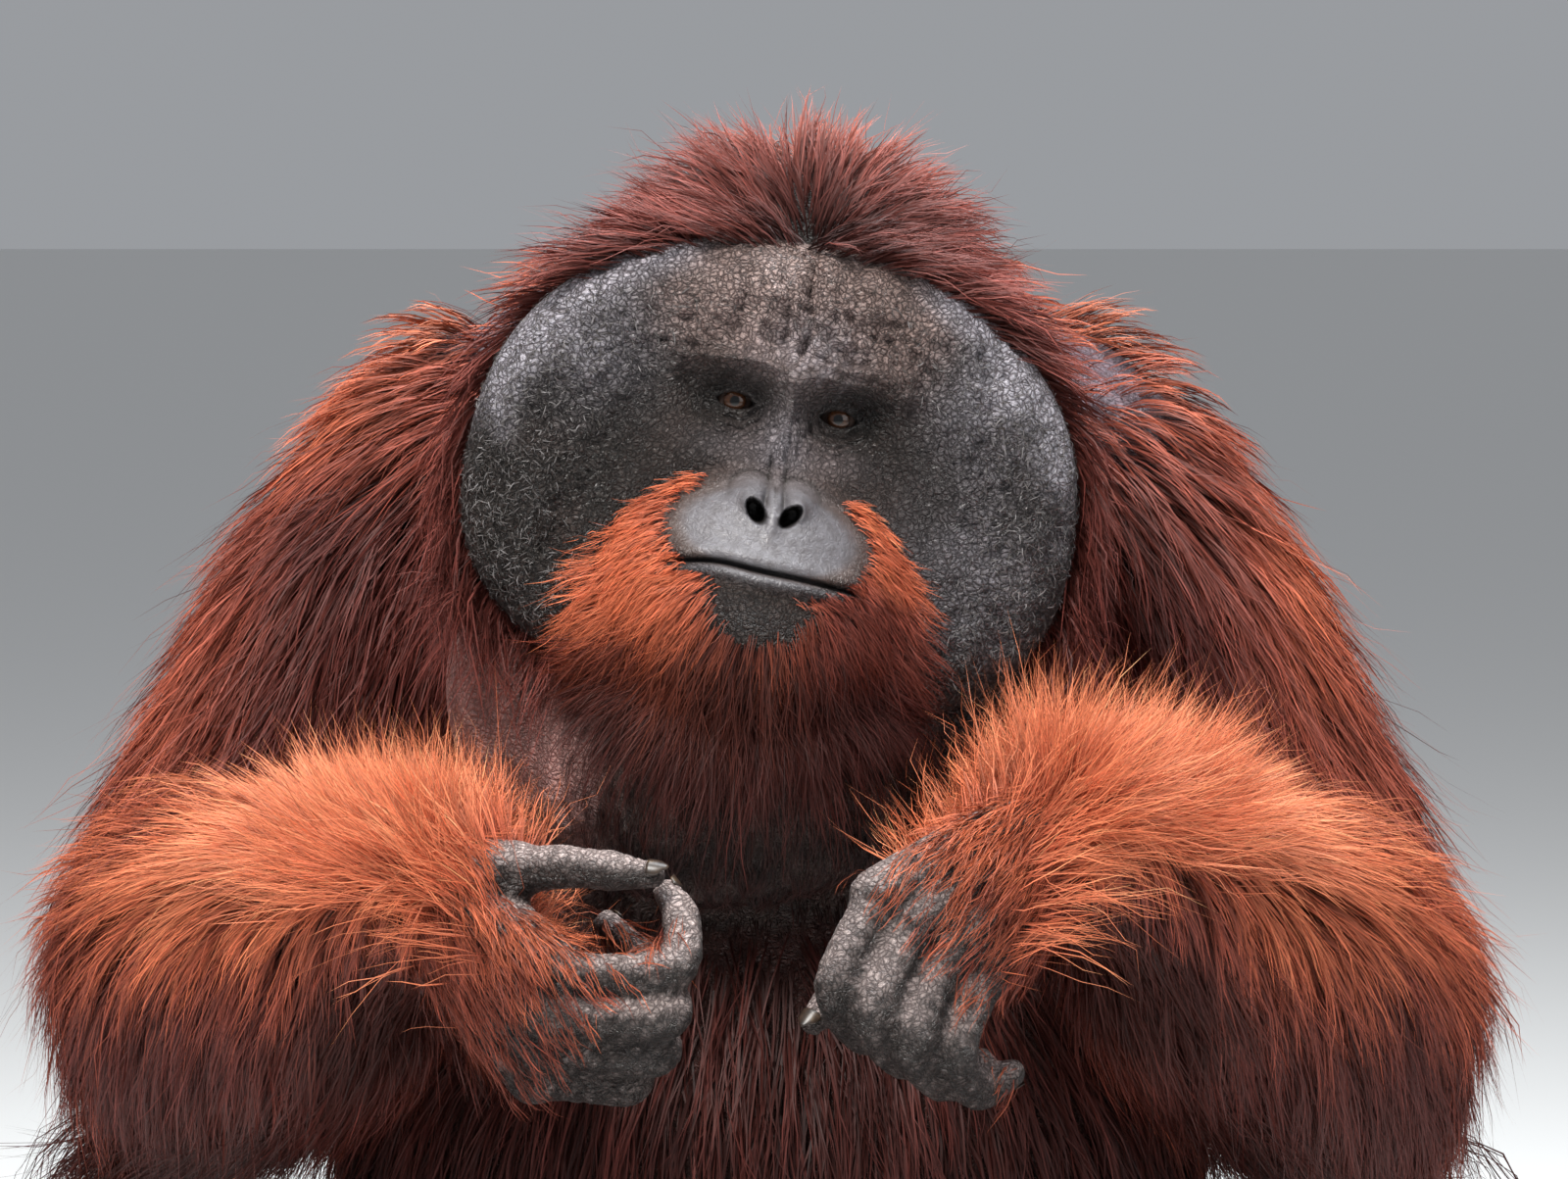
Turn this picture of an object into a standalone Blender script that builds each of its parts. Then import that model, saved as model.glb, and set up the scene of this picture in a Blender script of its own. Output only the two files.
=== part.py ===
"""A flanged male orangutan that sits with both hands raised before its chest, as a still, life-size model.

Metres, +Z up, facing -Y. The origin is on the floor, on the flat that the rump sits on.
Right and left are the animal's own, so its right side is at -X.
Every part of the body is one solid. Fingers, hands, limbs, neck and throat are cut back from
what they grow from by GAP, so that they meet it face to face. The long coat is a core that
reaches part of its depth, and flat locks that are rooted in the core and lie along the coat.
"""

import math

import bmesh
import bpy
import numpy as np
from mathutils import Euler, Matrix, Vector
from mathutils.bvhtree import BVHTree

# Clearance between neighbours, and the share of the coat's depth that the cores hold
GAP = 0.0003
TOUCHING = 0.0000008
CORE_SHARE = 0.5

# Depth of the coat, out to the tips, on each part of the body
COAT_BACK = 0.046
COAT_ARM = (0.038, 0.044, 0.044, 0.044)
COAT_FOREARM = (0.044, 0.048, 0.040, 0.016)
COAT_THIGH = (0.030, 0.030, 0.030, 0.028)
COAT_SHIN = (0.028, 0.028, 0.024, 0.014)
COAT_CROWN = 0.042

# Locks: for each coat, how far apart they root, how long and wide they are, and the seed of their spread
LOCKS = {
    "crown": (0.049, 0.105, 0.070, 11),
    "beard": (0.030, 0.100, 0.056, 12),
    "upper_arm": (0.080, 0.175, 0.090, 13),
    "forearm": (0.082, 0.170, 0.088, 14),
    "trunk": (0.098, 0.180, 0.100, 15),
    "leg": (0.076, 0.125, 0.080, 16),
}
LOCK_STEPS = 3
LOCK_SINK = 0.014
LOCK_WIDTHS = (0.74, 1.00, 0.78)
LOCK_THICKNESS = (0.010, 0.011, 0.008)
LOCK_DROOP = 0.007
LOCK_TRIES = ((1.00, 0.000), (0.85, 0.007), (0.70, 0.014), (0.55, 0.006), (0.42, 0.000))
LOCK_CLEAR = 0.0007
FLAT_ANGLES = (math.radians(2.4), math.radians(1.6), math.radians(0.8))
DOWN = Vector((0.0, 0.0, -1.0))

# Trunk: centre and half sizes of the rounded masses that it is built from
TRUNK = {
    "pelvis": ((0.0, 0.040, 0.120), (0.190, 0.155, 0.145)),
    "belly": ((0.0, 0.000, 0.260), (0.215, 0.190, 0.190)),
    "chest": ((0.0, 0.050, 0.450), (0.200, 0.145, 0.200)),
    "girdle": ((0.0, 0.085, 0.640), (0.200, 0.095, 0.095)),
    "nape": ((0.0, 0.085, 0.700), (0.130, 0.090, 0.080)),
}
FLOOR = 0.0

# Head: the middle of its cheek-pad disc, and how it is turned
HEAD_AT = Vector((0.006, -0.140, 0.679))
HEAD_YAW = math.radians(3.0)
HEAD_PITCH = math.radians(-4.0)
HEAD_ROLL = math.radians(10.5)

# Cheek-pad disc in head axes: half width, and half heights above and below its middle
DISC_HALF_WIDTH = 0.178
DISC_UP = 0.145
DISC_DOWN = 0.130
DISC_MIDDLE = -0.005
PAD_BACK = 0.034
SKULL = {
    "braincase": ((0.0, 0.072, 0.045), (0.082, 0.082, 0.100)),
    "jaw": ((0.0, 0.055, -0.050), (0.080, 0.070, 0.080)),
    "nape": ((0.0, 0.085, -0.005), (0.080, 0.070, 0.080)),
    "left_cheek": ((0.085, 0.020, -0.005), (0.060, 0.030, 0.085)),
    "right_cheek": ((-0.085, 0.020, -0.005), (0.060, 0.030, 0.085)),
}
HAIR_MASSES = {
    "crown": ((0.0, 0.068, 0.112), (0.076, 0.056, 0.068)),
    "back": ((0.0, 0.098, 0.050), (0.064, 0.044, 0.090)),
    "beard": ((0.0, -0.040, -0.130), (0.050, 0.016, 0.040)),
}
EAR_AT = Vector((0.0930, 0.052, 0.028))
EAR_RADII = (0.0085, 0.0150, 0.0205)
EAR_CUP = (0.0055, 0.0095, 0.0140)
EYE_APART = 0.0305
EYE_UP = 0.0358
EYE_RADIUS = 0.0125
EYE_SIDES = 12
MOUTH_HALF = 0.056
MOUTH_UP = -0.0630
NOSTRIL_APART = 0.0105
NOSTRIL_UP = -0.0255

# Joints of the right (image left) and left arm
SHOULDER = {"right": Vector((-0.200, 0.070, 0.655)), "left": Vector((0.203, 0.070, 0.662))}
ELBOW = {"right": Vector((-0.356, 0.030, 0.375)), "left": Vector((0.358, 0.030, 0.348))}
WRIST = {"right": Vector((-0.184, -0.288, 0.450)), "left": Vector((0.172, -0.262, 0.484))}
UPPER_ARM_RADII = (0.066, 0.072, 0.066, 0.058)
FOREARM_RADII = (0.058, 0.064, 0.054, 0.036)
FOREARM_HANGS = Vector((0.0, 0.010, -0.060))
WRIST_RADIUS = 0.030

# Joints of the legs, given for the left side and mirrored for the right
HIP = Vector((0.115, 0.000, 0.130))
KNEE = Vector((0.300, -0.190, 0.160))
ANKLE = Vector((0.140, -0.335, 0.080))
THIGH_RADII = (0.090, 0.086, 0.074, 0.058)
SHIN_RADII = (0.056, 0.054, 0.044, 0.036)

# Fingers: joints from the knuckle to the tip
DIGIT_RADII = (0.0146, 0.0136, 0.0118, 0.0085)
THUMB_RADII = (0.0165, 0.0130, 0.0120, 0.0080)
DIGITS = {
    "right": {
        "thumb": ((-0.142, -0.305, 0.463), (-0.112, -0.322, 0.467), (-0.085, -0.333, 0.466), (-0.062, -0.338, 0.464)),
        "index": ((-0.117, -0.333, 0.408), (-0.053, -0.352, 0.412), (-0.046, -0.333, 0.438), (-0.054, -0.318, 0.452)),
        "middle": ((-0.120, -0.332, 0.384), (-0.055, -0.355, 0.386), (-0.061, -0.318, 0.407), (-0.088, -0.298, 0.432)),
        "ring": ((-0.126, -0.318, 0.364), (-0.061, -0.342, 0.364), (-0.067, -0.303, 0.376), (-0.098, -0.289, 0.386)),
        "little": ((-0.133, -0.300, 0.347), (-0.077, -0.322, 0.345), (-0.080, -0.287, 0.355), (-0.108, -0.277, 0.362)),
    },
    "left": {
        "thumb": ((0.108, -0.262, 0.440), (0.070, -0.282, 0.420), (0.044, -0.302, 0.399), (0.028, -0.317, 0.379)),
        "index": ((0.066, -0.316, 0.453), (0.041, -0.342, 0.403), (0.057, -0.314, 0.371), (0.082, -0.296, 0.380)),
        "middle": ((0.086, -0.318, 0.437), (0.062, -0.348, 0.388), (0.078, -0.318, 0.358), (0.102, -0.298, 0.366)),
        "ring": ((0.106, -0.315, 0.422), (0.084, -0.346, 0.374), (0.100, -0.316, 0.345), (0.123, -0.297, 0.354)),
        "little": ((0.126, -0.306, 0.409), (0.107, -0.336, 0.365), (0.121, -0.309, 0.339), (0.140, -0.292, 0.347)),
    },
}

# Feet, given for the left side: they lie on their outer edges, soles facing each other
TOE_UP = {"toe_2": 0.0835, "toe_3": 0.0590, "toe_4": 0.0345, "toe_5": 0.0110}
TOE_PATH = ((0.088, -0.448), (0.062, -0.498), (0.031, -0.512), (0.018, -0.488))
TOE_RADII = (0.0145, 0.0132, 0.0118, 0.0088)
BIG_TOE = ((0.108, -0.375, 0.100), (0.080, -0.400, 0.118), (0.060, -0.424, 0.117), (0.050, -0.440, 0.110))
BIG_TOE_RADII = (0.0165, 0.0145, 0.0135, 0.0100)


def material(name, colour, roughness):
    """A plain Principled material of that colour."""
    made = bpy.data.materials.get(name) or bpy.data.materials.new(name)
    made.use_nodes = True
    shader = made.node_tree.nodes["Principled BSDF"]
    shader.inputs["Base Color"].default_value = (*colour, 1.0)
    shader.inputs["Roughness"].default_value = roughness
    shader.inputs["Metallic"].default_value = 0.0
    return made


def collection(name):
    """The scene's collection of that name, made the first time that it is asked for."""
    if name not in bpy.data.collections:
        bpy.context.scene.collection.children.link(bpy.data.collections.new(name))
    return bpy.data.collections[name]


def add_object(name, mesh):
    obj = bpy.data.objects.new(name, mesh)
    collection("orangutan").objects.link(obj)
    return obj


def object_of(name, bm):
    mesh = bpy.data.meshes.new(name)
    bm.to_mesh(mesh)
    bm.free()
    return add_object(name, mesh)


def apply_modifiers(obj):
    """Puts the evaluated mesh in place of the object's own."""
    graph = bpy.context.evaluated_depsgraph_get()
    mesh = bpy.data.meshes.new_from_object(obj.evaluated_get(graph))
    obj.modifiers.clear()
    old = obj.data
    obj.data = mesh
    bpy.data.meshes.remove(old)
    return obj


def remove(*objects):
    for obj in objects:
        bpy.data.objects.remove(obj)


def add_ball(bm, centre, radii, turn=None, sides=24):
    """A rounded mass with those three half sizes."""
    scale = Matrix.Diagonal((*radii, 1.0))
    turned = turn.to_4x4() if turn else Matrix.Identity(4)
    add_globe(bm, sides, sides * 2 // 3, Matrix.Translation(centre) @ turned @ scale)


def add_globe(bm, sides, rings, matrix):
    """A ball of radius 1 under that matrix, with its points and faces always in the same order."""
    top = bm.verts.new(matrix @ Vector((0.0, 0.0, 1.0)))
    rows = []
    for ring in range(1, rings):
        turn = math.pi * ring / rings
        out, up = math.sin(turn), math.cos(turn)
        angles = (math.tau * side / sides for side in range(sides))
        rows.append([bm.verts.new(matrix @ Vector((out * math.cos(a), out * math.sin(a), up))) for a in angles])
    bottom = bm.verts.new(matrix @ Vector((0.0, 0.0, -1.0)))
    for i in range(sides):
        j = (i + 1) % sides
        bm.faces.new((top, rows[0][i], rows[0][j]))
        for near, far in zip(rows, rows[1:]):
            bm.faces.new((near[i], far[i], far[j], near[j]))
        bm.faces.new((rows[-1][i], bottom, rows[-1][j]))


def add_link(bm, start, end, start_radius, end_radius):
    """A tapered length between two points."""
    along = Vector(end) - Vector(start)
    turn = along.to_track_quat("Z", "Y").to_matrix().to_4x4()
    matrix = Matrix.Translation((Vector(start) + Vector(end)) / 2) @ turn
    bmesh.ops.create_cone(
        bm, cap_ends=True, segments=24, radius1=start_radius, radius2=end_radius, depth=along.length, matrix=matrix
    )


def add_chain(bm, points, radii):
    """A limb: rounded joints and the tapered lengths between them."""
    for point, radius in zip(points, radii):
        add_ball(bm, point, (radius,) * 3)
    for i in range(len(points) - 1):
        add_link(bm, points[i], points[i + 1], radii[i], radii[i + 1])


def between(start, end, shares):
    return [Vector(start).lerp(Vector(end), share) for share in shares]


def fuse(name, bm, voxel, smoothing, triangles):
    """Joins overlapping masses to one soft skin, and thins it to about that many triangles."""
    obj = object_of(name, bm)
    remesh = obj.modifiers.new("Remesh", "REMESH")
    remesh.mode = "VOXEL"
    remesh.voxel_size = voxel
    smooth = obj.modifiers.new("Smooth", "SMOOTH")
    smooth.factor = 0.5
    smooth.iterations = smoothing
    apply_modifiers(obj)
    return thin(obj, triangles)


def thin(obj, triangles):
    obj.data.calc_loop_triangles()
    decimate = obj.modifiers.new("Decimate", "DECIMATE")
    decimate.ratio = min(1.0, triangles / len(obj.data.loop_triangles))
    decimate.use_collapse_triangulate = True
    return apply_modifiers(obj)


def grown(obj, by):
    """A copy of the object that is larger by that much all round."""
    copy = add_object(obj.name + "_grown", obj.data.copy())
    mesh = copy.data
    normals = [vertex.normal.copy() for vertex in mesh.vertices]
    for vertex, normal in zip(mesh.vertices, normals):
        vertex.co += normal * by
    return copy


def combine(obj, other, operation):
    """Applies one Boolean with another object, which is then removed."""
    before = obj.data.copy()
    least = volume_of(before) * (0.999 if operation == "UNION" else 0.001)
    for solver in ("EXACT", "MANIFOLD"):
        boolean = obj.modifiers.new("Boolean", "BOOLEAN")
        boolean.operation = operation
        boolean.solver = solver
        boolean.object = other
        keep_largest(apply_modifiers(obj))
        if volume_of(obj.data) > least:
            break
        obj.data = before.copy()
    remove(other)
    return obj


def volume_of(mesh):
    """The volume, or 0 unless every edge has two faces, also once the points that all but touch are one."""
    bm = bmesh.new()
    bm.from_mesh(mesh)
    closed = all(len(edge.link_faces) == 2 for edge in bm.edges)
    volume = bm.calc_volume(signed=True)
    bmesh.ops.remove_doubles(bm, verts=bm.verts[:], dist=TOUCHING)
    closed = closed and all(len(edge.link_faces) in (0, 2) for edge in bm.edges)
    bm.free()
    return volume if closed else 0.0


def keep_largest(obj):
    """Drops every closed surface but the largest, which fills sealed hollows and drops scraps."""
    bm = bmesh.new()
    bm.from_mesh(obj.data)
    bm.faces.ensure_lookup_table()
    seen = set()
    islands = []
    for face in bm.faces:
        if face.index in seen:
            continue
        island = []
        todo = [face]
        seen.add(face.index)
        while todo:
            current = todo.pop()
            island.append(current)
            for edge in current.edges:
                for other in edge.link_faces:
                    if other.index not in seen:
                        seen.add(other.index)
                        todo.append(other)
        islands.append(island)
    islands.sort(key=lambda faces: -sum(face.calc_area() for face in faces))
    dropped = [face for island in islands[1:] for face in island]
    if dropped:
        bmesh.ops.delete(bm, geom=dropped, context="FACES")
    bmesh.ops.triangulate(bm, faces=bm.faces[:])
    bm.to_mesh(obj.data)
    bm.free()
    return obj


def cut_clear(obj, *hosts):
    """Cuts the object back from its hosts, leaving GAP between them."""
    for host in hosts:
        combine(obj, grown(host, GAP), "DIFFERENCE")
    return obj


def half_space(point, outward):
    """A large block whose near face passes through the point, and that lies on the outward side."""
    bm = bmesh.new()
    turn = Vector(outward).to_track_quat("Z", "Y").to_matrix().to_4x4()
    matrix = Matrix.Translation(point) @ turn @ Matrix.Translation((0.0, 0.0, 1.0))
    bmesh.ops.create_cube(bm, size=2.0, matrix=matrix)
    return object_of("half_space", bm)


def parted(obj, point, onward, names):
    """Parts the object at a plane, with GAP between the two halves: first the near one, then the onward one."""
    onward = Vector(onward).normalized()
    far = add_object(names[1], obj.data.copy())
    obj.name = names[0]
    combine(obj, half_space(Vector(point) - onward * GAP / 2, onward), "DIFFERENCE")
    combine(far, half_space(Vector(point) + onward * GAP / 2, -onward), "DIFFERENCE")
    return obj, far


def cut_at_floor(obj):
    """Gives the object a flat where it reaches the floor."""
    bm = bmesh.new()
    matrix = Matrix.Translation((0.0, 0.0, FLOOR - 0.5)) @ Matrix.Diagonal((3.0, 3.0, 1.0, 1.0))
    bmesh.ops.create_cube(bm, size=1.0, matrix=matrix)
    return combine(obj, object_of("under_floor", bm), "DIFFERENCE")


def mirrored(point):
    return Vector((-point[0], point[1], point[2]))


def head_matrix():
    turn = (
        Matrix.Rotation(HEAD_YAW, 4, "Z")
        @ Matrix.Rotation(HEAD_PITCH, 4, "X")
        @ Matrix.Rotation(HEAD_ROLL, 4, "Y")
    )
    return Matrix.Translation(HEAD_AT) @ turn


def hump(x, z, at_x, at_z, wide, high):
    """A soft rise of height 1 at a place on the face."""
    return math.exp(-(((x - at_x) / wide) ** 2) - ((z - at_z) / high) ** 2)


def smoothstep(low, high, value):
    share = min(1.0, max(0.0, (value - low) / (high - low)))
    return share * share * (3.0 - 2.0 * share)


def dome(reach):
    """A rounded rise that runs out into a soft skirt."""
    if reach < 0.85:
        return (1.0 - reach**2) ** 0.62
    return 0.4517 * math.exp(-3.8 * (reach - 0.85))


def disc_radius(angle):
    """How far the cheek-pad disc reaches from its middle, at an angle from the animal's left."""
    across, up = math.cos(angle), math.sin(angle)
    height, power = (DISC_UP, 2.2) if up > 0 else (DISC_DOWN, 2.6)
    radius = (abs(across / DISC_HALF_WIDTH) ** power + abs(up / height) ** power) ** (-1 / power)
    return radius * (1.0 - 0.05 * up)


def face_height(x, z):
    """How far the bare face stands forward of the disc's plane, before the rim turns back."""
    side = abs(x)
    reach = math.hypot(x, z - DISC_MIDDLE) / disc_radius(math.atan2(z - DISC_MIDDLE, x))
    height = 0.021 + 0.013 * smoothstep(0.35, 0.80, reach)
    # Forehead in two lobes with a cleft between them
    height += 0.013 * hump(x, z, 0.0, 0.098, 0.075, 0.042)
    height += 0.004 * hump(side, z, 0.023, 0.103, 0.019, 0.024) - 0.003 * hump(x, z, 0.0, 0.105, 0.005, 0.030)
    # Brow, sockets, lids and the ridge between the eyes
    height += 0.011 * hump(side, z, 0.030, 0.059, 0.026, 0.011) + 0.009 * hump(x, z, 0.0, 0.054, 0.018, 0.013)
    height -= 0.015 * hump(side, z, 0.033, EYE_UP, 0.020, 0.015)
    height += 0.009 * hump(side, z, EYE_APART, EYE_UP, 0.0125, 0.0100)
    height += 0.010 * hump(x, z, 0.0, 0.026, 0.010, 0.030)
    # Muzzle, nose and lips
    height += 0.076 * dome(math.hypot(x / 0.085, (z + 0.072) / (0.070 if z > -0.072 else 0.064)))
    height += 0.010 * hump(side, z, 0.0150, -0.0190, 0.0110, 0.0110)
    height += 0.007 * hump(x, z, 0.0, -0.028, 0.0055, 0.0100)
    in_mouth = smoothstep(MOUTH_HALF + 0.004, MOUTH_HALF - 0.006, side)
    line = MOUTH_UP + 0.003 * (1.0 - (side / MOUTH_HALF) ** 2)
    height += in_mouth * 0.0035 * math.exp(-(((z - line - 0.006) / 0.0045) ** 2))
    height += in_mouth * 0.0050 * math.exp(-(((z - line + 0.007) / 0.0045) ** 2))
    height -= in_mouth * 0.0060 * math.exp(-(((z - line) / 0.0022) ** 2))
    height += 0.006 * hump(x, z, 0.0, -0.108, 0.036, 0.018)
    return height


def face_disc():
    """The bare face with its cheek pads: a globe whose front half is drawn over the face."""
    rings, around = 110, 180
    rim_turn = 0.80 * math.pi
    roll_start, roll_depth = 0.80, 0.030
    bm = bmesh.new()
    add_globe(bm, around, rings, Matrix.Diagonal((1.0, -1.0, 1.0, 1.0)))
    for vertex in bm.verts:
        turn = math.acos(max(-1.0, min(1.0, vertex.co.z)))
        angle = math.atan2(-vertex.co.y, vertex.co.x)
        if turn <= rim_turn:
            reach = turn / rim_turn
        else:
            reach = math.cos((turn - rim_turn) / (math.pi - rim_turn) * math.pi / 2)
        radius = reach * disc_radius(angle)
        x, z = radius * math.cos(angle), DISC_MIDDLE + radius * math.sin(angle)
        if turn <= rim_turn:
            rolled = max(0.0, (reach - roll_start) / (1.0 - roll_start))
            y = -face_height(x, z) + roll_depth * (1.0 - math.sqrt(max(0.0, 1.0 - rolled**2)))
        else:
            rim = -0.034 + roll_depth
            y = rim + PAD_BACK * math.sqrt(max(0.0, 1.0 - reach**2))
        vertex.co = (x, y, z)
    if bm.calc_volume(signed=True) < 0.0:
        for face in bm.faces:
            face.normal_flip()
    return object_of("face_disc", bm)


def make_head():
    """Cheek pads, face and skull, with sockets for the eyes, nostrils and the line of the mouth."""
    head = face_disc()
    bm = bmesh.new()
    for centre, radii in SKULL.values():
        add_ball(bm, centre, radii)
    for centre, radii in HAIR_MASSES.values():
        add_ball(bm, centre, Vector(radii) + Vector((CORE_SHARE * COAT_CROWN,) * 3))
    skull = fuse("skull", bm, 0.008, 6, 320)
    head.name = head.data.name = "head"
    thin(head, 1250)
    combine(head, skull, "UNION")
    for side in (-1, 1):
        eye = Vector((side * EYE_APART, eye_depth(), EYE_UP))
        bm = bmesh.new()
        add_ball(bm, eye + Vector((0.0, -0.012, 0.0)), (0.0110, 0.014, 0.0052), None, 12)
        combine(head, object_of("lid_opening", bm), "DIFFERENCE")
        bm = bmesh.new()
        add_ball(bm, eye, (EYE_RADIUS + GAP,) * 3, None, EYE_SIDES)
        combine(head, object_of("eye_socket", bm), "DIFFERENCE")
        bm = bmesh.new()
        turn = Euler((math.radians(25), math.radians(side * 40), 0.0)).to_matrix()
        nostril = Vector((side * NOSTRIL_APART, -face_height(NOSTRIL_APART, NOSTRIL_UP) + 0.002, NOSTRIL_UP))
        add_ball(bm, nostril, (0.0042, 0.013, 0.0066), turn, 12)
        combine(head, object_of("nostril", bm), "DIFFERENCE")
    head.data.transform(head_matrix())
    return head


def eye_depth():
    """Depth of an eyeball's middle, so that its front lies just behind the lids."""
    return -face_height(EYE_APART, EYE_UP) + EYE_RADIUS + 0.0012


def make_eye(side):
    bm = bmesh.new()
    centre = Vector((side * EYE_APART, eye_depth(), EYE_UP))
    add_ball(bm, centre, (EYE_RADIUS,) * 3, None, EYE_SIDES)
    eye = object_of("eye_left" if side > 0 else "eye_right", bm)
    eye.data.transform(head_matrix())
    return eye


def make_ear(side, head):
    """A small cupped ear on the side of the skull, behind the cheek pad."""
    turn = Euler((math.radians(-12), 0.0, math.radians(-18 * side))).to_matrix()
    bm = bmesh.new()
    add_ball(bm, (side * EAR_AT.x, EAR_AT.y, EAR_AT.z), EAR_RADII, turn)
    ear = object_of("ear_left" if side > 0 else "ear_right", bm)
    bm = bmesh.new()
    add_ball(bm, (side * (EAR_AT.x + 0.0070), EAR_AT.y - 0.003, EAR_AT.z + 0.001), EAR_CUP, turn)
    combine(ear, object_of("ear_cup", bm), "DIFFERENCE")
    ear.data.transform(head_matrix())
    return cut_clear(thin(ear, 180), head)


def make_trunk():
    bm = bmesh.new()
    extra = CORE_SHARE * COAT_BACK * 0.6
    masses = [(Vector(centre), Vector(radii) + Vector((extra, extra, 0.0))) for centre, radii in TRUNK.values()]
    for (low, low_radii), (high, high_radii) in zip(masses, masses[1:]):
        for share in (0.0, 0.2, 0.4, 0.6, 0.8):
            add_ball(bm, low.lerp(high, share), low_radii.lerp(high_radii, share))
    add_ball(bm, *masses[-1])
    for side in ("right", "left"):
        across = SHOULDER[side].x
        add_ball(bm, (across * 0.80, 0.085, 0.678), (0.085 + extra, 0.065 + extra, 0.092))
        add_ball(bm, (across * 0.45, 0.085, 0.725), (0.080 + extra, 0.060 + extra, 0.088))
    torso = fuse("torso", bm, 0.014, 12, 400)
    return cut_at_floor(torso)


def make_neck():
    bm = bmesh.new()
    add_link(bm, (0.0, 0.070, 0.660), (0.006, -0.060, 0.665), 0.100, 0.090)
    add_ball(bm, (0.0, 0.070, 0.660), (0.100,) * 3)
    return fuse("neck", bm, 0.010, 6, 300)


def make_throat():
    """The throat pouch, which hangs under the chin in front of the chest."""
    bm = bmesh.new()
    add_ball(bm, (-0.020, -0.135, 0.505), (0.115, 0.080, 0.080))
    add_ball(bm, (-0.125, -0.100, 0.550), (0.062, 0.050, 0.085))
    add_ball(bm, (0.110, -0.100, 0.550), (0.062, 0.050, 0.075))
    return fuse("throat_pouch", bm, 0.009, 10, 160)


def make_limb(names, joints, radii, coats, triangles, hang=None):
    """Both segments of a limb in one soft skin with its coat, parted across the joint between them."""
    bm = bmesh.new()
    start, middle, end = joints
    for first, last, sizes, coat in ((start, middle, radii[0], coats[0]), (middle, end, radii[1], coats[1])):
        points = between(first, last, (0.0, 0.33, 0.66, 1.0))
        full = [size + CORE_SHARE * depth for size, depth in zip(sizes, coat)]
        add_chain(bm, points, full)
        if hang is not None and first is middle:
            add_chain(bm, [point + hang for point in points[:3]], [size * 0.85 for size in full[:3]])
    limb = fuse(names[0], bm, 0.012, 8, triangles)
    across = (end - middle).normalized() - (start - middle).normalized()
    return parted(limb, middle, across, names)


def digit(name, points, radii, grow=0.0, sides=2, steps=3):
    """A finger or toe: a tapered tube through its joints, rounded at the tip."""
    curve = bpy.data.curves.new(name, "CURVE")
    curve.dimensions = "3D"
    curve.bevel_depth = 1.0
    curve.bevel_resolution = sides
    curve.use_fill_caps = True
    knots = [Vector(point) for point in points]
    path = smooth_path(knots, radii, grow, steps)
    spline = curve.splines.new("POLY")
    spline.points.add(len(path) - 1)
    for point, (place, radius) in zip(spline.points, path):
        point.co = (*place, 1.0)
        point.radius = radius
    obj = add_object(name, curve)
    graph = bpy.context.evaluated_depsgraph_get()
    mesh = bpy.data.meshes.new_from_object(obj.evaluated_get(graph))
    remove(obj)
    bm = bmesh.new()
    bm.from_mesh(mesh)
    bmesh.ops.remove_doubles(bm, verts=bm.verts[:], dist=1e-6)
    bmesh.ops.triangulate(bm, faces=bm.faces[:])
    bmesh.ops.recalc_face_normals(bm, faces=bm.faces[:])
    bm.to_mesh(mesh)
    bm.free()
    return add_object(name, mesh)


def smooth_path(knots, radii, grow, steps):
    """Places and radii along a soft curve through the knots, closing round the tip."""
    path = []
    spans = len(knots) - 1
    for span in range(spans):
        before = knots[max(span - 1, 0)]
        start, end = knots[span], knots[span + 1]
        after = knots[min(span + 2, spans)]
        for step in range(steps):
            share = step / steps
            path.append((catmull(before, start, end, after, share), radii[span] + (radii[span + 1] - radii[span]) * share + grow))
    tip_radius = radii[-1] + grow
    onward = (knots[-1] - knots[-2]).normalized()
    for angle in (0.0, 40.0, 72.0):
        turn = math.radians(angle)
        path.append((knots[-1] + onward * tip_radius * math.sin(turn), tip_radius * math.cos(turn)))
    if grow:
        back = (knots[0] - knots[1]).normalized()
        path[0] = (path[0][0] + back * grow, path[0][1])
    return path


def catmull(before, start, end, after, share):
    return 0.5 * (
        2 * start
        + (end - before) * share
        + (2 * before - 5 * start + 4 * end - after) * share**2
        + (3 * start - before - 3 * end + after) * share**3
    )


def make_hand(side):
    """The palm and back of a hand, cut clear of its five digits."""
    bm = bmesh.new()
    wrist = WRIST[side]
    digits = DIGITS[side]
    add_ball(bm, wrist, (WRIST_RADIUS,) * 3)
    for name, points in digits.items():
        knuckle, next_joint = Vector(points[0]), Vector(points[1])
        inward = (next_joint - knuckle).normalized()
        end = knuckle + inward * 0.006
        add_chain(bm, (wrist, wrist.lerp(knuckle, 0.55), end), (0.027, 0.023, 0.0175))
    hand = fuse(f"hand_{side}", bm, 0.005, 4, 220)
    made = [hand]
    for name, points in digits.items():
        radii = THUMB_RADII if name == "thumb" else DIGIT_RADII
        full = f"{name}_{side}" if name == "thumb" else f"{name}_finger_{side}"
        combine(hand, digit("socket", points, radii, GAP), "DIFFERENCE")
        finger = digit(full, points, radii)
        for other in made[1:]:
            cut_clear(finger, other)
        made.append(finger)
    return made


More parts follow.
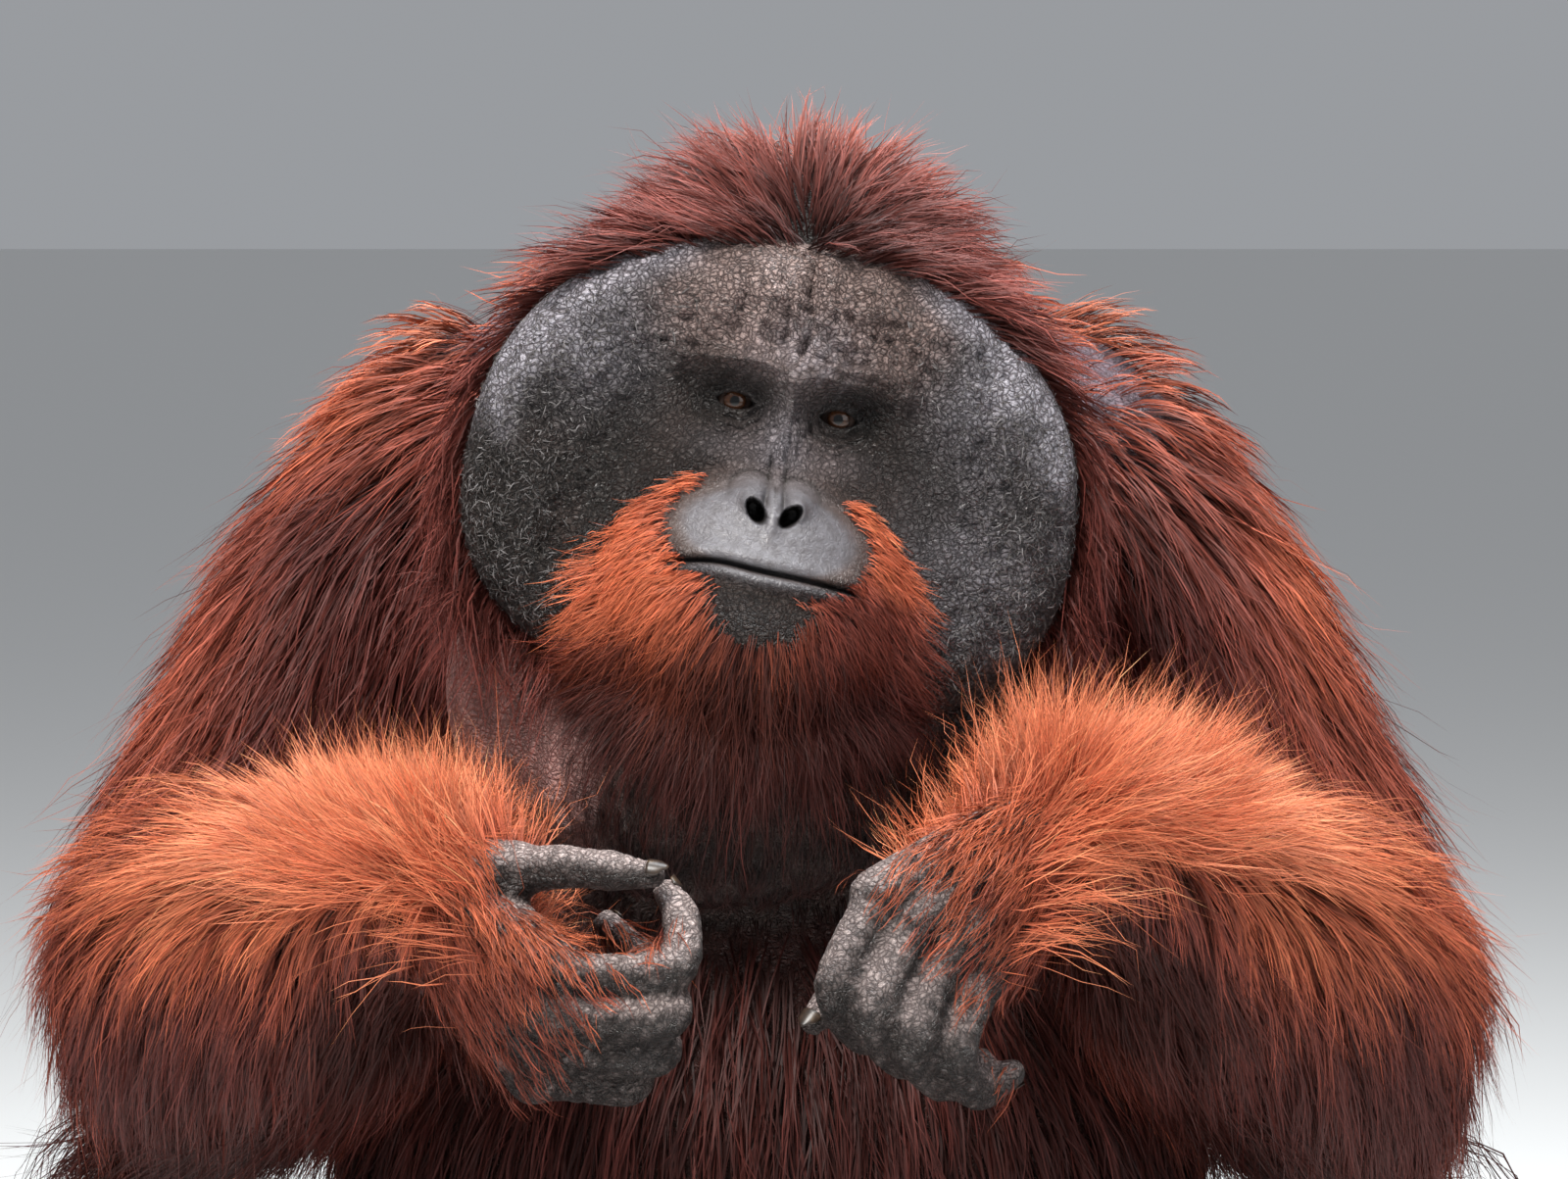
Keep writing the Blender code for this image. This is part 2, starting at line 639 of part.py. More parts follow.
def make_foot(side):
    """A foot on its outer edge, cut clear of its five curled toes."""
    flip = (lambda p: Vector(p)) if side == "left" else mirrored
    bm = bmesh.new()
    add_chain(bm, [flip(p) for p in ((0.168, -0.325, 0.031), (0.122, -0.400, 0.026), (0.086, -0.450, 0.020))], (0.033, 0.0275, 0.0215))
    add_chain(bm, [flip(p) for p in ((0.140, -0.335, 0.078), (0.118, -0.395, 0.066), (0.086, -0.450, 0.076))], (0.037, 0.0270, 0.0190))
    add_link(bm, flip((0.150, -0.330, 0.055)), flip((0.086, -0.450, 0.048)), 0.034, 0.021)
    add_chain(bm, [flip(p) for p in ((0.140, -0.345, 0.080), (0.106, -0.378, 0.097))], (0.030, 0.0175))
    foot = cut_at_floor(fuse(f"foot_{side}", bm, 0.006, 4, 230))
    made = [foot]
    toes = {name: [flip((x, y, up)) for x, y in TOE_PATH] for name, up in TOE_UP.items()}
    toes["big_toe"] = [flip(p) for p in BIG_TOE]
    for name, points in toes.items():
        radii = BIG_TOE_RADII if name == "big_toe" else TOE_RADII
        combine(foot, digit("socket", points, radii, GAP, 1, 2), "DIFFERENCE")
        toe = digit(f"{name}_{side}", points, radii, 0.0, 1, 2)
        for other in made[1:]:
            cut_clear(toe, other)
        made.append(cut_at_floor(toe) if name == "toe_5" else toe)
    return made


def tree_of(obj):
    bm = bmesh.new()
    bm.from_mesh(obj.data)
    tree = BVHTree.FromBMesh(bm)
    bm.free()
    return tree


def spread(obj, spacing, seed, grows_here):
    """Places all over the part of a surface that the hair grows from, no two nearer than the spacing."""
    rng = np.random.default_rng(seed)
    faces = list(obj.data.polygons)
    areas = np.array([face.area for face in faces])
    picks = rng.choice(len(faces), size=6000, p=areas / areas.sum())
    kept = []
    for pick, (a, b) in zip(picks, rng.random((6000, 2))):
        face = faces[pick]
        corners = [obj.data.vertices[i].co for i in face.vertices]
        root = math.sqrt(a)
        place = corners[0] * (1.0 - root) + corners[1] * (root * (1.0 - b)) + corners[2] * (root * b)
        if grows_here(place, face.normal) and all((place - other).length > spacing for other, _ in kept):
            kept.append((place, face.normal.copy()))
    return kept


def lock_path(tree, root, normal, lie, length, rise):
    """Centres and upward directions of a lock that runs over the core, or hangs free past its edge."""
    at, up = root.copy(), normal.copy()
    heading = flattened(lie(root, normal), normal)
    path = [(root - normal * LOCK_SINK - heading * LOCK_SINK * 0.5, normal.copy(), heading.copy())]
    for step in range(1, LOCK_STEPS + 1):
        share = step / LOCK_STEPS
        heading = (heading * 0.7 + flattened(lie(at, up), up) * 0.5 + DOWN * 0.12 * share).normalized()
        at = at + heading * (length / LOCK_STEPS)
        near, near_normal, _, _ = tree.find_nearest(at)
        outside = (at - near).dot(near_normal)
        height = 0.003 + rise * share
        if outside < height or near_normal.z > -0.15:
            at = at + near_normal * (height - outside) * (1.0 if outside < height else 0.8)
        if outside < 0.020:
            up = flattened(near_normal, heading)
        else:
            up = flattened(up, heading)
        at.z = max(at.z, FLOOR + 0.012)
        path.append((at.copy(), up.copy(), heading.copy()))
    return path


def flattened(vector, normal):
    """The direction with what lies along the normal taken out."""
    flat = vector - normal * vector.dot(normal)
    return flat.normalized() if flat.length > 1e-6 else normal.orthogonal().normalized()


def lock_mesh(path, width, extra=0.0):
    """A flat, tapered lock: three-sided rings along the path, drawn out to a tip."""
    bm = bmesh.new()
    rings = []
    for (at, up, heading), share, thick in zip(path[:-1], LOCK_WIDTHS, LOCK_THICKNESS):
        side = heading.cross(up).normalized()
        half = width * share / 2 + extra
        low = at - up * (LOCK_DROOP * share + extra)
        rings.append([bm.verts.new(p) for p in (low - side * half, low + side * half, at + up * (thick + extra))])
    tip = bm.verts.new(path[-1][0] + path[-1][2] * extra)
    bm.faces.new(rings[0])
    for near, far in zip(rings, rings[1:]):
        for i in range(3):
            j = (i + 1) % 3
            bm.faces.new((near[i], near[j], far[j]))
            bm.faces.new((near[i], far[j], far[i]))
    for i in range(3):
        bm.faces.new((rings[-1][i], rings[-1][(i + 1) % 3], tip))
    bmesh.ops.recalc_face_normals(bm, faces=bm.faces[:])
    return bm


def root_locks(tree, places, coat, rise, lie, obstacles):
    """Makes the locks of one coat, each bent or shortened until it clears the obstacles, or left out."""
    _, length, width, seed = LOCKS[coat]
    rng = np.random.default_rng(seed)
    locks = []
    for place, normal in places:
        long, wide = length * rng.uniform(0.85, 1.10), width * rng.uniform(0.88, 1.10)
        for shorter, lift in LOCK_TRIES:
            path = lock_path(tree, place, normal, lie, long * shorter, rise + lift)
            narrow = wide * (0.5 + 0.5 * shorter)
            tested = lock_mesh(path, narrow, LOCK_CLEAR)
            lowest = min(vertex.co.z for vertex in tested.verts)
            hits = any(BVHTree.FromBMesh(tested).overlap(other) for other in obstacles)
            tested.free()
            if lowest > FLOOR + 0.001 and not hits:
                locks.append(lock_mesh(path, narrow))
                break
    return locks


def join_locks(obj, locks, obstacles):
    """Joins all of a node's locks to its core in one union, or one by one where that leaves an open edge."""
    bunch = collection("coat_locks")
    for number, bm in enumerate(locks):
        lock = object_of(f"lock_{number}", bm)
        collection("orangutan").objects.unlink(lock)
        bunch.objects.link(lock)
    core = obj.data.copy()
    least = volume_of(core)
    for solver in ("EXACT", "MANIFOLD"):
        boolean = obj.modifiers.new("Boolean", "BOOLEAN")
        boolean.operation = "UNION"
        boolean.operand_type = "COLLECTION"
        boolean.collection = bunch
        boolean.solver = solver
        keep_largest(apply_modifiers(obj))
        if volume_of(obj.data) > least:
            remove(*bunch.objects)
            break
        obj.data = core.copy()
    for lock in list(bunch.objects):
        combine(obj, lock, "UNION")
    merge_flats(obj, obstacles)


def merge_flats(obj, obstacles):
    """Merges faces that lie nearly in one plane, by the largest angle that keeps the node closed and clear of the rest."""
    for angle in FLAT_ANGLES:
        bm = bmesh.new()
        bm.from_mesh(obj.data)
        bmesh.ops.dissolve_limit(bm, angle_limit=angle, verts=bm.verts[:], edges=bm.edges[:])
        bmesh.ops.triangulate(bm, faces=bm.faces[:])
        merged = BVHTree.FromBMesh(bm)
        mesh = bpy.data.meshes.new(obj.name)
        bm.to_mesh(mesh)
        bm.free()
        clear = not any(merged.overlap(other) for other in obstacles)
        if clear and volume_of(mesh) > 0.99 * volume_of(obj.data):
            obj.data = mesh
            return


def coats():
    """Each coat: its node, its kind of lock, how far the tips rise, where it grows and which way it lies."""
    to_head = head_matrix().inverted()
    from_head = head_matrix().to_3x3()
    whorl = Vector((-0.004, -0.010, 0.150))

    def on_crown(place, normal):
        local = to_head @ place
        over_face = local.y > 0.050 or local.z > (0.110 if local.y > 0.015 else 0.150)
        by_ear = (Vector((abs(local.x), local.y, local.z)) - EAR_AT).length < 0.036
        by_whorl = (local - whorl).length < 0.034
        return over_face and local.z > -0.030 and not by_ear and not by_whorl

    def crown_lie(place, normal):
        local = to_head @ place
        away = Vector((local.x - whorl.x, (local.y - whorl.y) * 1.2, 0.010))
        return from_head @ away.normalized() + DOWN * 0.8 * smoothstep(0.14, 0.02, local.z)

    def on_beard(place, normal):
        local = to_head @ place
        low = -0.085 if abs(local.x) > 0.060 else -0.104
        return local.y < -0.022 and local.z < low and abs(local.x) < 0.088

    def beard_lie(place, normal):
        local = to_head @ place
        return from_head @ Vector((local.x * 3.0, -0.10, -1.0))

    yield "head", "crown", 0.028, on_crown, crown_lie
    yield "head", "beard", 0.014, on_beard, beard_lie
    for side, sign in (("right", -1), ("left", 1)):
        along_arm = (ELBOW[side] - SHOULDER[side]).normalized()
        along_forearm = (ELBOW[side] - WRIST[side]).normalized()
        wrist = WRIST[side]
        yield (
            f"upper_arm_{side}",
            "upper_arm",
            0.026,
            lambda place, normal: True,
            lambda place, normal, along=along_arm: along + DOWN * 0.3,
        )
        yield (
            f"forearm_{side}",
            "forearm",
            0.022,
            lambda place, normal, wrist=wrist: (place - wrist).length > 0.060,
            lambda place, normal, along=along_forearm: along * 0.6 + DOWN * 0.8,
        )
    yield (
        "torso",
        "trunk",
        0.024,
        lambda place, normal: place.z > 0.10 and (normal.y > -0.2 or place.z < 0.42) and abs(normal.x) < 0.85,
        lambda place, normal: DOWN + Vector((place.x * 0.8, 0.0, 0.0)),
    )
    for side, sign in (("right", -1), ("left", 1)):
        hip, knee, ankle = (Vector((sign * p.x, p.y, p.z)) for p in (HIP, KNEE, ANKLE))
        for name, start, end in ((f"thigh_{side}", hip, knee), (f"shin_{side}", knee, ankle)):
            along = (end - start).normalized()
            yield (
                name,
                "leg",
                0.014,
                lambda place, normal: place.z > 0.060 and normal.z > -0.3,
                lambda place, normal, along=along: along * 0.7 + DOWN * 0.6,
            )


def main():
    for obj in list(bpy.data.objects):
        bpy.data.objects.remove(obj)
    head = make_head()
    eyes = [make_eye(side) for side in (-1, 1)]
    torso = make_trunk()
    cut_clear(torso, head)
    neck = cut_clear(make_neck(), torso, head)
    throat = cut_clear(make_throat(), head, neck, torso)
    ears = [make_ear(side, head) for side in (-1, 1)]
    nodes = [head, *eyes, *ears, torso, neck, throat]
    for side in ("right", "left"):
        arm = (SHOULDER[side], ELBOW[side], WRIST[side])
        names = (f"upper_arm_{side}", f"forearm_{side}")
        upper, fore = make_limb(names, arm, (UPPER_ARM_RADII, FOREARM_RADII), (COAT_ARM, COAT_FOREARM), 320, FOREARM_HANGS)
        hand = make_hand(side)
        cut_clear(upper, torso, throat)
        cut_clear(fore, torso, throat, *hand)
        nodes += [upper, fore, *hand]
        leg = (HIP, KNEE, ANKLE) if side == "left" else (mirrored(HIP), mirrored(KNEE), mirrored(ANKLE))
        names = (f"thigh_{side}", f"shin_{side}")
        thigh, shin = make_limb(names, leg, (THIGH_RADII, SHIN_RADII), (COAT_THIGH, COAT_SHIN), 230)
        foot = make_foot(side)
        cut_clear(thigh, torso)
        cut_clear(shin, torso, *foot)
        for obj in (thigh, shin):
            cut_at_floor(obj)
        nodes += [thigh, shin, *foot]
    trees = {obj.name: tree_of(obj) for obj in nodes}
    for obj in nodes:
        locks = []
        obstacles = [tree for other, tree in trees.items() if other != obj.name]
        for name, coat, rise, grows_here, lie in coats():
            if name == obj.name:
                places = spread(obj, LOCKS[coat][0], LOCKS[coat][3], grows_here)
                locks += root_locks(trees[name], places, coat, rise, lie, obstacles)
        if locks:
            join_locks(obj, locks, obstacles)
            trees[obj.name] = tree_of(obj)
        elif len(obj.data.polygons) > 100:
            merge_flats(obj, obstacles)
            trees[obj.name] = tree_of(obj)
    bare = material("bare_skin", (0.115, 0.085, 0.078), 0.55)
    coat = material("coat", (0.320, 0.085, 0.035), 0.75)
    eye = material("eye", (0.020, 0.012, 0.010), 0.12)
    coated = ("torso", "neck", "upper_arm", "forearm", "thigh", "shin")
    for obj in nodes:
        obj.data.materials.clear()
        own = eye if obj.name.startswith("eye") else coat if obj.name.startswith(coated) else bare
        obj.data.materials.append(own)


main()
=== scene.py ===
"""An orangutan, a flanged adult male that sits with its hands before its chest.

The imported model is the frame. One skin takes the place of its flesh, and eyes, nails and coat are pieces of their
own. Each hair of the coat is a thin blade of mesh that grows from the skin and follows the lie of the coat.
"""

import math

import bmesh
import bpy
import numpy as np
from mathutils import Euler, Matrix, Vector
from mathutils.bvhtree import BVHTree
from mathutils.kdtree import KDTree


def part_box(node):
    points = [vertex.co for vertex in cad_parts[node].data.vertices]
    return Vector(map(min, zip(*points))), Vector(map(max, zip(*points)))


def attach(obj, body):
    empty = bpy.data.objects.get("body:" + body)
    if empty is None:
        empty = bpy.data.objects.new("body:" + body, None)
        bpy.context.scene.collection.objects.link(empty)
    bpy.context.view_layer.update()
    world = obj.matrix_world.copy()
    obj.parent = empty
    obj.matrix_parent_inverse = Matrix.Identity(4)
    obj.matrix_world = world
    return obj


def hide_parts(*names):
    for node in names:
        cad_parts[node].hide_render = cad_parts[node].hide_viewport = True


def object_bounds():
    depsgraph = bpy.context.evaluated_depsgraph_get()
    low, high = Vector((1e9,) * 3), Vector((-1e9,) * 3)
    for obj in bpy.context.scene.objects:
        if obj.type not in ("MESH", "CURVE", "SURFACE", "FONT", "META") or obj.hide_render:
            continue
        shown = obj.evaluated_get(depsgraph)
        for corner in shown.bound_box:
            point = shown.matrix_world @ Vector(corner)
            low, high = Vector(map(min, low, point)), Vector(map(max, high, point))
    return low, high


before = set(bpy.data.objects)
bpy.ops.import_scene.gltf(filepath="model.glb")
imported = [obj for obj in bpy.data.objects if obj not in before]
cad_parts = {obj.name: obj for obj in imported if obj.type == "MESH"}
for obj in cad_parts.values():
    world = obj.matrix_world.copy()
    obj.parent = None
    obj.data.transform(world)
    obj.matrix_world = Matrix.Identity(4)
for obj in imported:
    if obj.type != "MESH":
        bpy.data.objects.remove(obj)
CAD_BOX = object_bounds()

# ---------------------------------------------------------------- driving sizes, metres

UP = np.array((0.0, 0.0, 1.0))
FLOOR_CLEAR = 0.0030
COAT_SPARE = 0.024 * (np.array(CAD_BOX[1]) - np.array(CAD_BOX[0]))
COAT_LOW = np.maximum(np.array(CAD_BOX[0]) - COAT_SPARE, (-9.0, -9.0, FLOOR_CLEAR))
COAT_HIGH = np.array(CAD_BOX[1]) + COAT_SPARE

# Head: its place and turn, the cheek-pad disc, and the features of the face in the head's own axes
HEAD_AT = Vector((0.006, -0.140, 0.679))
HEAD_YAW, HEAD_PITCH, HEAD_ROLL = math.radians(3.0), math.radians(-4.0), math.radians(10.5)
DISC_HALF_WIDTH, DISC_UP, DISC_DOWN, DISC_MIDDLE = 0.178, 0.145, 0.130, -0.005
PAD_BACK, ROLL_START, ROLL_DEPTH, RIM_BACK = 0.034, 0.80, 0.030, -0.004
EYE_APART, EYE_UP, EYE_RADIUS = 0.0305, 0.0358, 0.0125
LID_HALF, LID_OVER, LID_UNDER = 0.0114, 0.0050, 0.0048
MOUTH_HALF, MOUTH_UP = 0.056, -0.0630
NOSTRIL_APART, NOSTRIL_UP = 0.0100, -0.0262
EAR_AT = (0.0930, 0.052, 0.028)
WHORL = np.array((-0.004, -0.010, 0.150))
EYE_RINGS = ((0.0130, 0.0024), (0.0185, 0.0030), (0.0240, 0.0020))
BROW_CLEFTS = (
    (0.002, 0.0068, 0.0026),
    (0.016, 0.0036, 0.0022),
    (-0.012, 0.0040, 0.0022),
    (0.040, 0.0020, 0.0026),
    (-0.038, 0.0020, 0.0026),
)
SKULL = (
    ((0.0, 0.072, 0.045), (0.082, 0.082, 0.100)),
    ((0.0, 0.055, -0.050), (0.080, 0.070, 0.080)),
    ((0.0, 0.085, -0.005), (0.080, 0.070, 0.080)),
    ((0.085, 0.020, -0.005), (0.060, 0.030, 0.085)),
    ((-0.085, 0.020, -0.005), (0.060, 0.030, 0.085)),
    ((0.0, 0.070, 0.106), (0.098, 0.070, 0.078)),
    ((0.0, 0.100, 0.045), (0.078, 0.052, 0.094)),
    ((0.0, -0.040, -0.118), (0.050, 0.022, 0.034)),
)

# Body: masses of the trunk from seat to nape, and the joints and flesh radii of the limbs
TRUNK = (
    ((0.0, 0.040, 0.120), (0.190, 0.155, 0.120)),
    ((0.0, 0.000, 0.260), (0.252, 0.194, 0.190)),
    ((0.0, 0.050, 0.450), (0.200, 0.145, 0.200)),
    ((0.0, 0.085, 0.640), (0.200, 0.095, 0.095)),
    ((0.0, 0.085, 0.700), (0.130, 0.090, 0.080)),
)
THROAT = (
    ((-0.020, -0.135, 0.505), (0.115, 0.080, 0.080)),
    ((-0.125, -0.100, 0.550), (0.062, 0.050, 0.085)),
    ((0.110, -0.100, 0.550), (0.062, 0.050, 0.075)),
)
SHOULDER = {"right": (-0.200, 0.070, 0.655), "left": (0.203, 0.070, 0.662)}
ELBOW = {"right": (-0.356, 0.030, 0.375), "left": (0.358, 0.030, 0.348)}
WRIST = {"right": (-0.184, -0.288, 0.450), "left": (0.172, -0.262, 0.484)}
UPPER_ARM_RADII = (0.066, 0.072, 0.066, 0.058)
FOREARM_RADII = (0.058, 0.064, 0.054, 0.034)
FOREARM_HANGS = Vector((0.0, 0.010, -0.050))
HIP, KNEE, ANKLE = (0.115, 0.000, 0.130), (0.300, -0.190, 0.160), (0.140, -0.335, 0.080)
THIGH_RADII = (0.090, 0.086, 0.074, 0.058)
SHIN_RADII = (0.056, 0.054, 0.044, 0.036)

# Fingers, from the knuckle to the tip
DIGIT_RADII = (0.0146, 0.0136, 0.0118, 0.0085)
THUMB_RADII = (0.0165, 0.0130, 0.0120, 0.0080)
THUMB_BACKS = {"right": Vector((0.05, -0.55, 0.80)), "left": Vector((-0.55, -0.80, 0.10))}
DIGITS = {
    "right": {
        "thumb": ((-0.142, -0.305, 0.463), (-0.112, -0.322, 0.467), (-0.085, -0.333, 0.466), (-0.062, -0.338, 0.464)),
        "index": ((-0.117, -0.333, 0.408), (-0.053, -0.352, 0.412), (-0.046, -0.333, 0.438), (-0.054, -0.318, 0.452)),
        "middle": ((-0.120, -0.332, 0.384), (-0.055, -0.355, 0.386), (-0.061, -0.318, 0.407), (-0.088, -0.298, 0.432)),
        "ring": ((-0.126, -0.318, 0.364), (-0.061, -0.342, 0.364), (-0.067, -0.303, 0.376), (-0.098, -0.289, 0.386)),
        "little": ((-0.133, -0.300, 0.347), (-0.077, -0.322, 0.345), (-0.080, -0.287, 0.355), (-0.108, -0.277, 0.362)),
    },
    "left": {
        "thumb": ((0.108, -0.262, 0.440), (0.070, -0.282, 0.420), (0.044, -0.302, 0.399), (0.028, -0.317, 0.379)),
        "index": ((0.066, -0.316, 0.453), (0.041, -0.342, 0.403), (0.057, -0.314, 0.371), (0.082, -0.296, 0.380)),
        "middle": ((0.086, -0.318, 0.437), (0.062, -0.348, 0.388), (0.078, -0.318, 0.358), (0.102, -0.298, 0.366)),
        "ring": ((0.106, -0.315, 0.422), (0.084, -0.346, 0.374), (0.100, -0.316, 0.345), (0.123, -0.297, 0.354)),
        "little": ((0.126, -0.306, 0.409), (0.107, -0.336, 0.365), (0.121, -0.309, 0.339), (0.140, -0.292, 0.347)),
    },
}
TOE_UP = {"toe_2": 0.0835, "toe_3": 0.0590, "toe_4": 0.0345, "toe_5": 0.0125}
TOE_PATH = ((0.088, -0.448), (0.062, -0.498), (0.031, -0.512), (0.018, -0.488))
TOE_RADII = (0.0145, 0.0132, 0.0118, 0.0088)
BIG_TOE = ((0.108, -0.375, 0.100), (0.080, -0.400, 0.118), (0.060, -0.424, 0.117), (0.050, -0.440, 0.110))
BIG_TOE_RADII = (0.0165, 0.0145, 0.0135, 0.0100)
FOOT_LENGTHS = (
    (((0.168, -0.325, 0.034), (0.122, -0.400, 0.029), (0.086, -0.450, 0.021)), (0.033, 0.0275, 0.0200)),
    (((0.140, -0.335, 0.078), (0.118, -0.395, 0.066), (0.086, -0.450, 0.076)), (0.037, 0.0270, 0.0190)),
    (((0.150, -0.330, 0.055), (0.086, -0.450, 0.048)), (0.034, 0.021)),
    (((0.140, -0.345, 0.080), (0.106, -0.378, 0.097)), (0.030, 0.0175)),
)

# How finely the masses are fused, and how deep the creases of hands and feet are
BODY_VOXEL, THROAT_VOXEL, HAND_VOXEL, FOOT_VOXEL = 0.0115, 0.0042, 0.0031, 0.0046
WRINKLE_DEPTH = 0.0006
BALL_SPACING = 0.35
HAIR_STEPS = 4

# Camera: where it looks, how far off it stands, how far it looks down, and the photo's scale there
CAMERA_AIM, CAMERA_FAR, CAMERA_DOWN = Vector((0.0114, -0.140, 0.610)), 4.6, math.radians(4.0)
PHOTO_WIDE, METRES_A_PIXEL, SENSOR = 1600, 0.00057, 36.0

# Lights: place, size, power and tone of each, all aimed at the body's middle
LIT_MIDDLE = (0.0, -0.05, 0.50)
LIGHTS = {
    "key": ((-0.8, -1.7, 3.1), 0.9, 118.0, (1.0, 0.97, 0.93)),
    "top": ((0.3, 0.5, 3.0), 1.8, 100.0, (0.93, 0.97, 1.0)),
    "fill": ((2.4, -2.2, 1.5), 2.0, 18.0, (0.92, 0.96, 1.0)),
}

# Bare patches of the skin, the left shoulder's first
SHOULDER_PATCHES = ((0.195, 0.047, 0.733), (-0.150, 0.069, 0.768))
WRIST_PATCH = (0.186, -0.246, 0.520)

# Tones, linear
SKIN_DARK = (0.038, 0.031, 0.028)
SKIN_BROWN = (0.360, 0.250, 0.220)
# Blue-grey of the nose bridge, also used for the painted highlights on the cheek pads and brow
SKIN_BLUE_AND_HIGHLIGHT = (0.760, 0.720, 0.800)
SKIN_LIP = (0.150, 0.143, 0.154)
# Near black, painted as shade in the eye sockets, the lids, the nostrils, the mouth line and under the lower lip
SKIN_PAINTED_SHADE = (0.012, 0.010, 0.009)
SKIN_HAND = (0.105, 0.080, 0.073)
# Pale grey, painted as highlight on the tops of hands and feet, and the own tone of the bare wrist patch
SKIN_HAND_PALE_AND_HIGHLIGHT = (0.700, 0.570, 0.540)
SKIN_THROAT = (0.026, 0.019, 0.018)
# Pale brown of the forehead, partly the skin's own tone and partly painted highlight
SKIN_PALE_BROW_AND_HIGHLIGHT = (0.600, 0.450, 0.420)
SKIN_PINK = (0.620, 0.350, 0.320)
SKIN_MAUVE = (0.340, 0.270, 0.320)
SKIN_UNDER_COAT = (0.060, 0.022, 0.018)
HAIR_ROOT = (0.050, 0.012, 0.009)
HAIR_MAROON = (0.120, 0.028, 0.022)
HAIR_RED = (0.400, 0.090, 0.050)
HAIR_ORANGE = (0.700, 0.180, 0.075)
HAIR_BRIGHT = (0.830, 0.290, 0.140)
HAIR_CROWN = (0.320, 0.085, 0.066)


# ---------------------------------------------------------------- small helpers


def clamp(value):
    return np.clip(value, 0.0, 1.0)


def smooth(low, high, value):
    """0 below low and 1 above high, with a soft passage between them. Low may be the higher one."""
    share = clamp((value - low) / (high - low))
    return share * share * (3.0 - 2.0 * share)


def ridge(off, wide):
    """1 where off is 0, falling away within that width."""
    return np.exp(-((off / wide) ** 2))


def hump(x, z, at_x, at_z, wide, high):
    """1 at one place of the face, falling away within those widths across and up."""
    return np.exp(-(((x - at_x) / wide) ** 2) - ((z - at_z) / high) ** 2)


def waves(points, size, seed, count=12):
    """Smooth noise of about -1 to 1 whose lumps are of that size."""
    rng = np.random.default_rng(seed)
    dims = points.shape[1]
    turn = rng.normal(size=(count, dims))
    turn *= (math.tau / size) * rng.uniform(0.6, 1.5, (count, 1)) / np.linalg.norm(turn, axis=1, keepdims=True)
    return np.cos(points @ turn.T + rng.uniform(0, math.tau, count)).sum(axis=1) / math.sqrt(count)


def unit(vectors):
    return vectors / np.maximum(np.linalg.norm(vectors, axis=-1, keepdims=True), 1e-9)


def flat(vectors, normals):
    """The directions with what lies along the normals taken out."""
    return unit(vectors - normals * (vectors * normals).sum(axis=-1, keepdims=True))


def even(tone, points):
    """The same tone at every place."""
    return np.tile(tone, (len(points), 1))


def constant(value):
    """The same measure at every place."""
    return lambda points, normals: np.full(len(points), value)


def mix(first, second, share):
    """Blends two tones, or arrays of them, by an array of shares."""
    share = np.asarray(share)[..., None]
    return np.asarray(first) * (1.0 - share) + np.asarray(second) * share


def head_matrix():
    turn = (
        Matrix.Rotation(HEAD_YAW, 4, "Z")
        @ Matrix.Rotation(HEAD_PITCH, 4, "X")
        @ Matrix.Rotation(HEAD_ROLL, 4, "Y")
    )
    return Matrix.Translation(HEAD_AT) @ turn


HEAD = np.array(head_matrix())
HEAD_TURN = HEAD[:3, :3]


def to_head(points):
    return (points - HEAD[:3, 3]) @ HEAD_TURN


def from_head(vectors):
    return vectors @ HEAD_TURN.T


def add_object(name, data):
    obj = bpy.data.objects.new(name, data)
    bpy.context.scene.collection.objects.link(obj)
    return obj


def shade_smooth(obj):
    obj.data.polygons.foreach_set("use_smooth", np.ones(len(obj.data.polygons), bool))


def move_points(obj, points):
    obj.data.vertices.foreach_set("co", points.astype(np.float32).ravel())


def object_of(name, bm):
    """An object from a bmesh, which is freed."""
    mesh = bpy.data.meshes.new(name)
    bm.to_mesh(mesh)
    bm.free()
    return add_object(name, mesh)


def object_from(name, points, corners, sizes):
    """An object from arrays: its points, the corners of all faces in one row, and how many each face has."""
    mesh = bpy.data.meshes.new(name)
    mesh.vertices.add(len(points))
    mesh.vertices.foreach_set("co", np.ascontiguousarray(points, np.float32).ravel())
    mesh.loops.add(len(corners))
    mesh.loops.foreach_set("vertex_index", np.ascontiguousarray(corners, np.int32))
    mesh.polygons.add(len(sizes))
    starts = np.concatenate(([0], np.cumsum(sizes)[:-1])).astype(np.int32)
    mesh.polygons.foreach_set("loop_start", starts)
    mesh.update(calc_edges=True)
    obj = add_object(name, mesh)
    shade_smooth(obj)
    return obj


def apply_modifiers(obj):
    graph = bpy.context.evaluated_depsgraph_get()
    mesh = bpy.data.meshes.new_from_object(obj.evaluated_get(graph))
    obj.modifiers.clear()
    old = obj.data
    obj.data = mesh
    bpy.data.meshes.remove(old)
    return obj


def set_tones(obj, name, tones):
    """Keeps a tone for each point of the mesh in a colour attribute."""
    layer = obj.data.color_attributes.new(name, "FLOAT_COLOR", "POINT")
    rows = np.ones((len(obj.data.vertices), 4), np.float32)
    rows[:, :3] = tones
    layer.data.foreach_set("color", rows.ravel())


def points_of(obj):
    points = np.empty(len(obj.data.vertices) * 3, np.float32)
    obj.data.vertices.foreach_get("co", points)
    return points.reshape(-1, 3).astype(float)


def normals_of(obj):
    normals = np.empty(len(obj.data.vertices) * 3, np.float32)
    obj.data.vertices.foreach_get("normal", normals)
    return normals.reshape(-1, 3).astype(float)


# ---------------------------------------------------------------- masses of the skin


